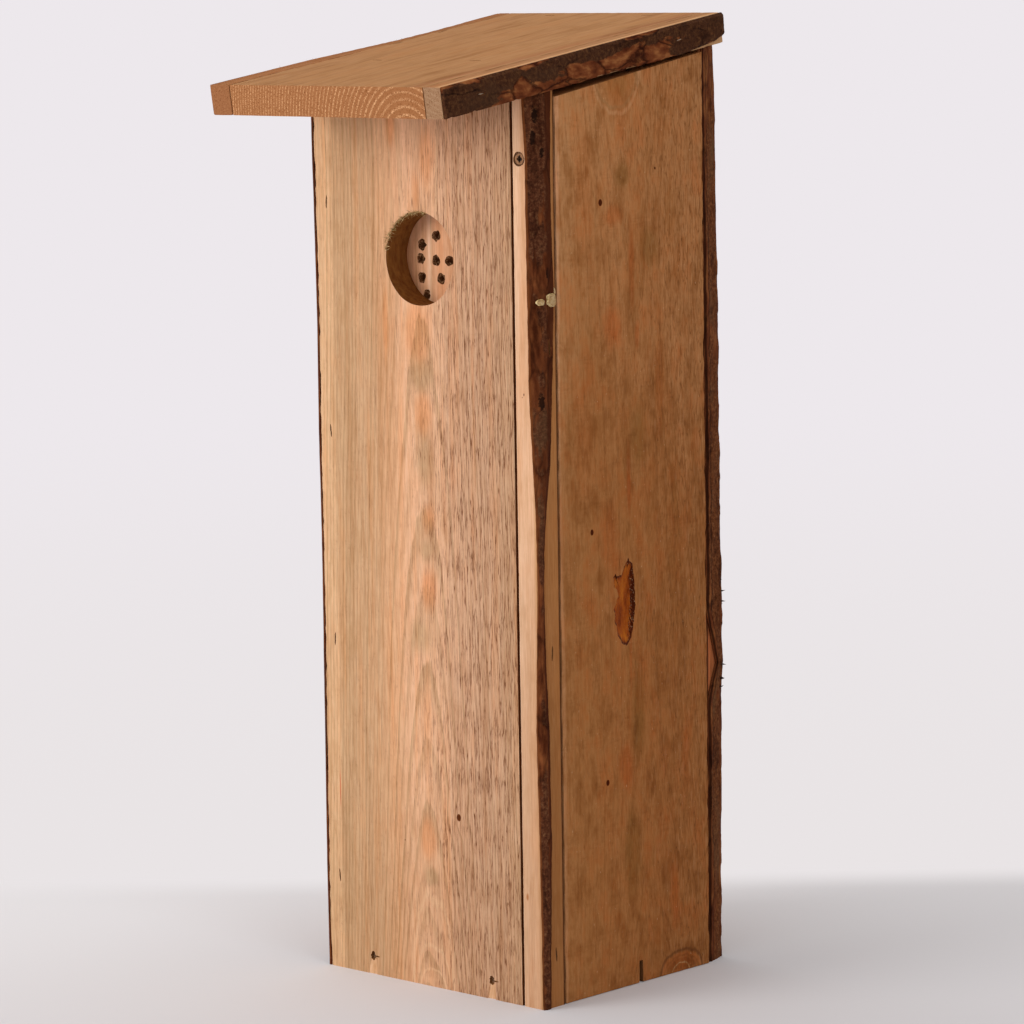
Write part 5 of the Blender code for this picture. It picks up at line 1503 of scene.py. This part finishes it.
# Its two near-black seams are painted shadow, of the gap by the door and of a groove in the bark.
BACK_EDGE_BARK = bark_skin("larch_bark_at_the_back", (1, 1, 0.3), ("44230F", "6C3C20", "8C5C38"),
                           ("5C2C16", "703C20", "8A542E"), 0.55, 9, cracks=0.5, bare_edge=(5.0, 0.25),
                           lichen="6A5238", seams=((0.05, 0.02, "260F06"), (0.24, 0.012, "260F06")))
ROOF_EDGE_BARK = bark_skin("larch_bark_on_roof", (1, 0.5, 1), ("301A10", "4C2C1A", "684629"),
                           ("5A2A14", "784022", "9C6238"), 0.60, 5, low_flakes=0.21, about=-40 * MM,
                           run=(48, 108), lichen="4A3222")
TORN = bored_wood("torn_wood_in_slits", "5E3C22", "8A5C36", 5)
BORED = bored_wood("burnished_bored_wood", "70421F", "90602F", 6)
PALE_SPLIT = bored_wood("fresh_split_wood", "C6966C", "E2B892", 7)
PILOT = bored_wood("scorched_pilot_holes", "5A2C16", "A06C42", 8)
RESIN = resin_wood()
CRUST = dried_resin()
WIRE = dull_metal("drawn_steel_wire", "7A5A40", 0.65)
BRIGHT_WIRE = dull_metal("drawn_steel_wire_bright", "C8B8A0", 0.4)
ZINC = screw_head("zinc_plated_screw")
PALE_FIBRE = straw("bleached_larch_fibre", "E2C690", "B08A58", 3)
OLIVE_FIBRE = straw("olive_larch_fibre", "A8925A", "5E4A28", 6)
PILOT_FIBRE = straw("torn_larch_fibre", "D8A678", "8A5A34", 8)
BROWN_FIBRE = straw("brown_larch_fibre", "A87A52", "7A5030", 4)
BAST = straw("dark_bast_fibre", "4A3022", "24140C", 5)

make_front_board(LARCH_FRONT, TORN, BORED, PALE_SPLIT)
make_strip(SAPWOOD, TORN)
make_strip_bark(UPRIGHT_BARK, TORN)
make_left_bark(UPRIGHT_BARK)
make_back_board(LARCH_BACK, TORN, BORED)
make_back_bark(BACK_EDGE_BARK, TORN)
make_wall(LARCH_WALL)
make_floor(LARCH_FLOOR)
make_plug(PLUG_WOOD, PILOT)
make_door(LARCH_DOOR, TORN, RESIN)
make_roof_board(LARCH_ROOF, TORN)
make_roof_left(LARCH_ROOF_EDGE, TORN)
make_roof_right(ROOF_SAPWOOD)
make_roof_bark(ROOF_EDGE_BARK, TORN)
crust("resin_drop_on_bark", (X_RIGHT + 0.5 * MM, -72.9 * MM, 376.9 * MM), (1, -0.6, 0), (5 * MM, 3.7 * MM),
      CRUST, seed=3)
crust("resin_drop_on_strip", (X_RIGHT - 0.1 * MM, -64.7 * MM, 377.6 * MM), RIGHT, (7.8 * MM, 8 * MM), CRUST,
      seed=4)
crust("resin_splash", (X_RIGHT, -62.0 * MM, 382.6 * MM), RIGHT, (2 * MM, 5 * MM), CRUST, seed=6,
      turn=-0.5)
fibres_round_entrance(PALE_FIBRE, OLIVE_FIBRE)
fibres_in_pilot_holes(PILOT_FIBRE)
fibres_on_roof(BROWN_FIBRE)
fibres_on_bark(BAST)
fibres_round_screw(BROWN_FIBRE)

for name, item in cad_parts.items():
    if "screw" in name:
        surface = ZINC
    elif name.startswith("roof_right_staple"):
        surface = BRIGHT_WIRE
    elif "staple" in name or "nail" in name:
        surface = WIRE
    else:
        continue
    item.data.materials.clear()
    item.data.materials.append(surface)

bpy.context.scene.view_settings.view_transform = "Standard"
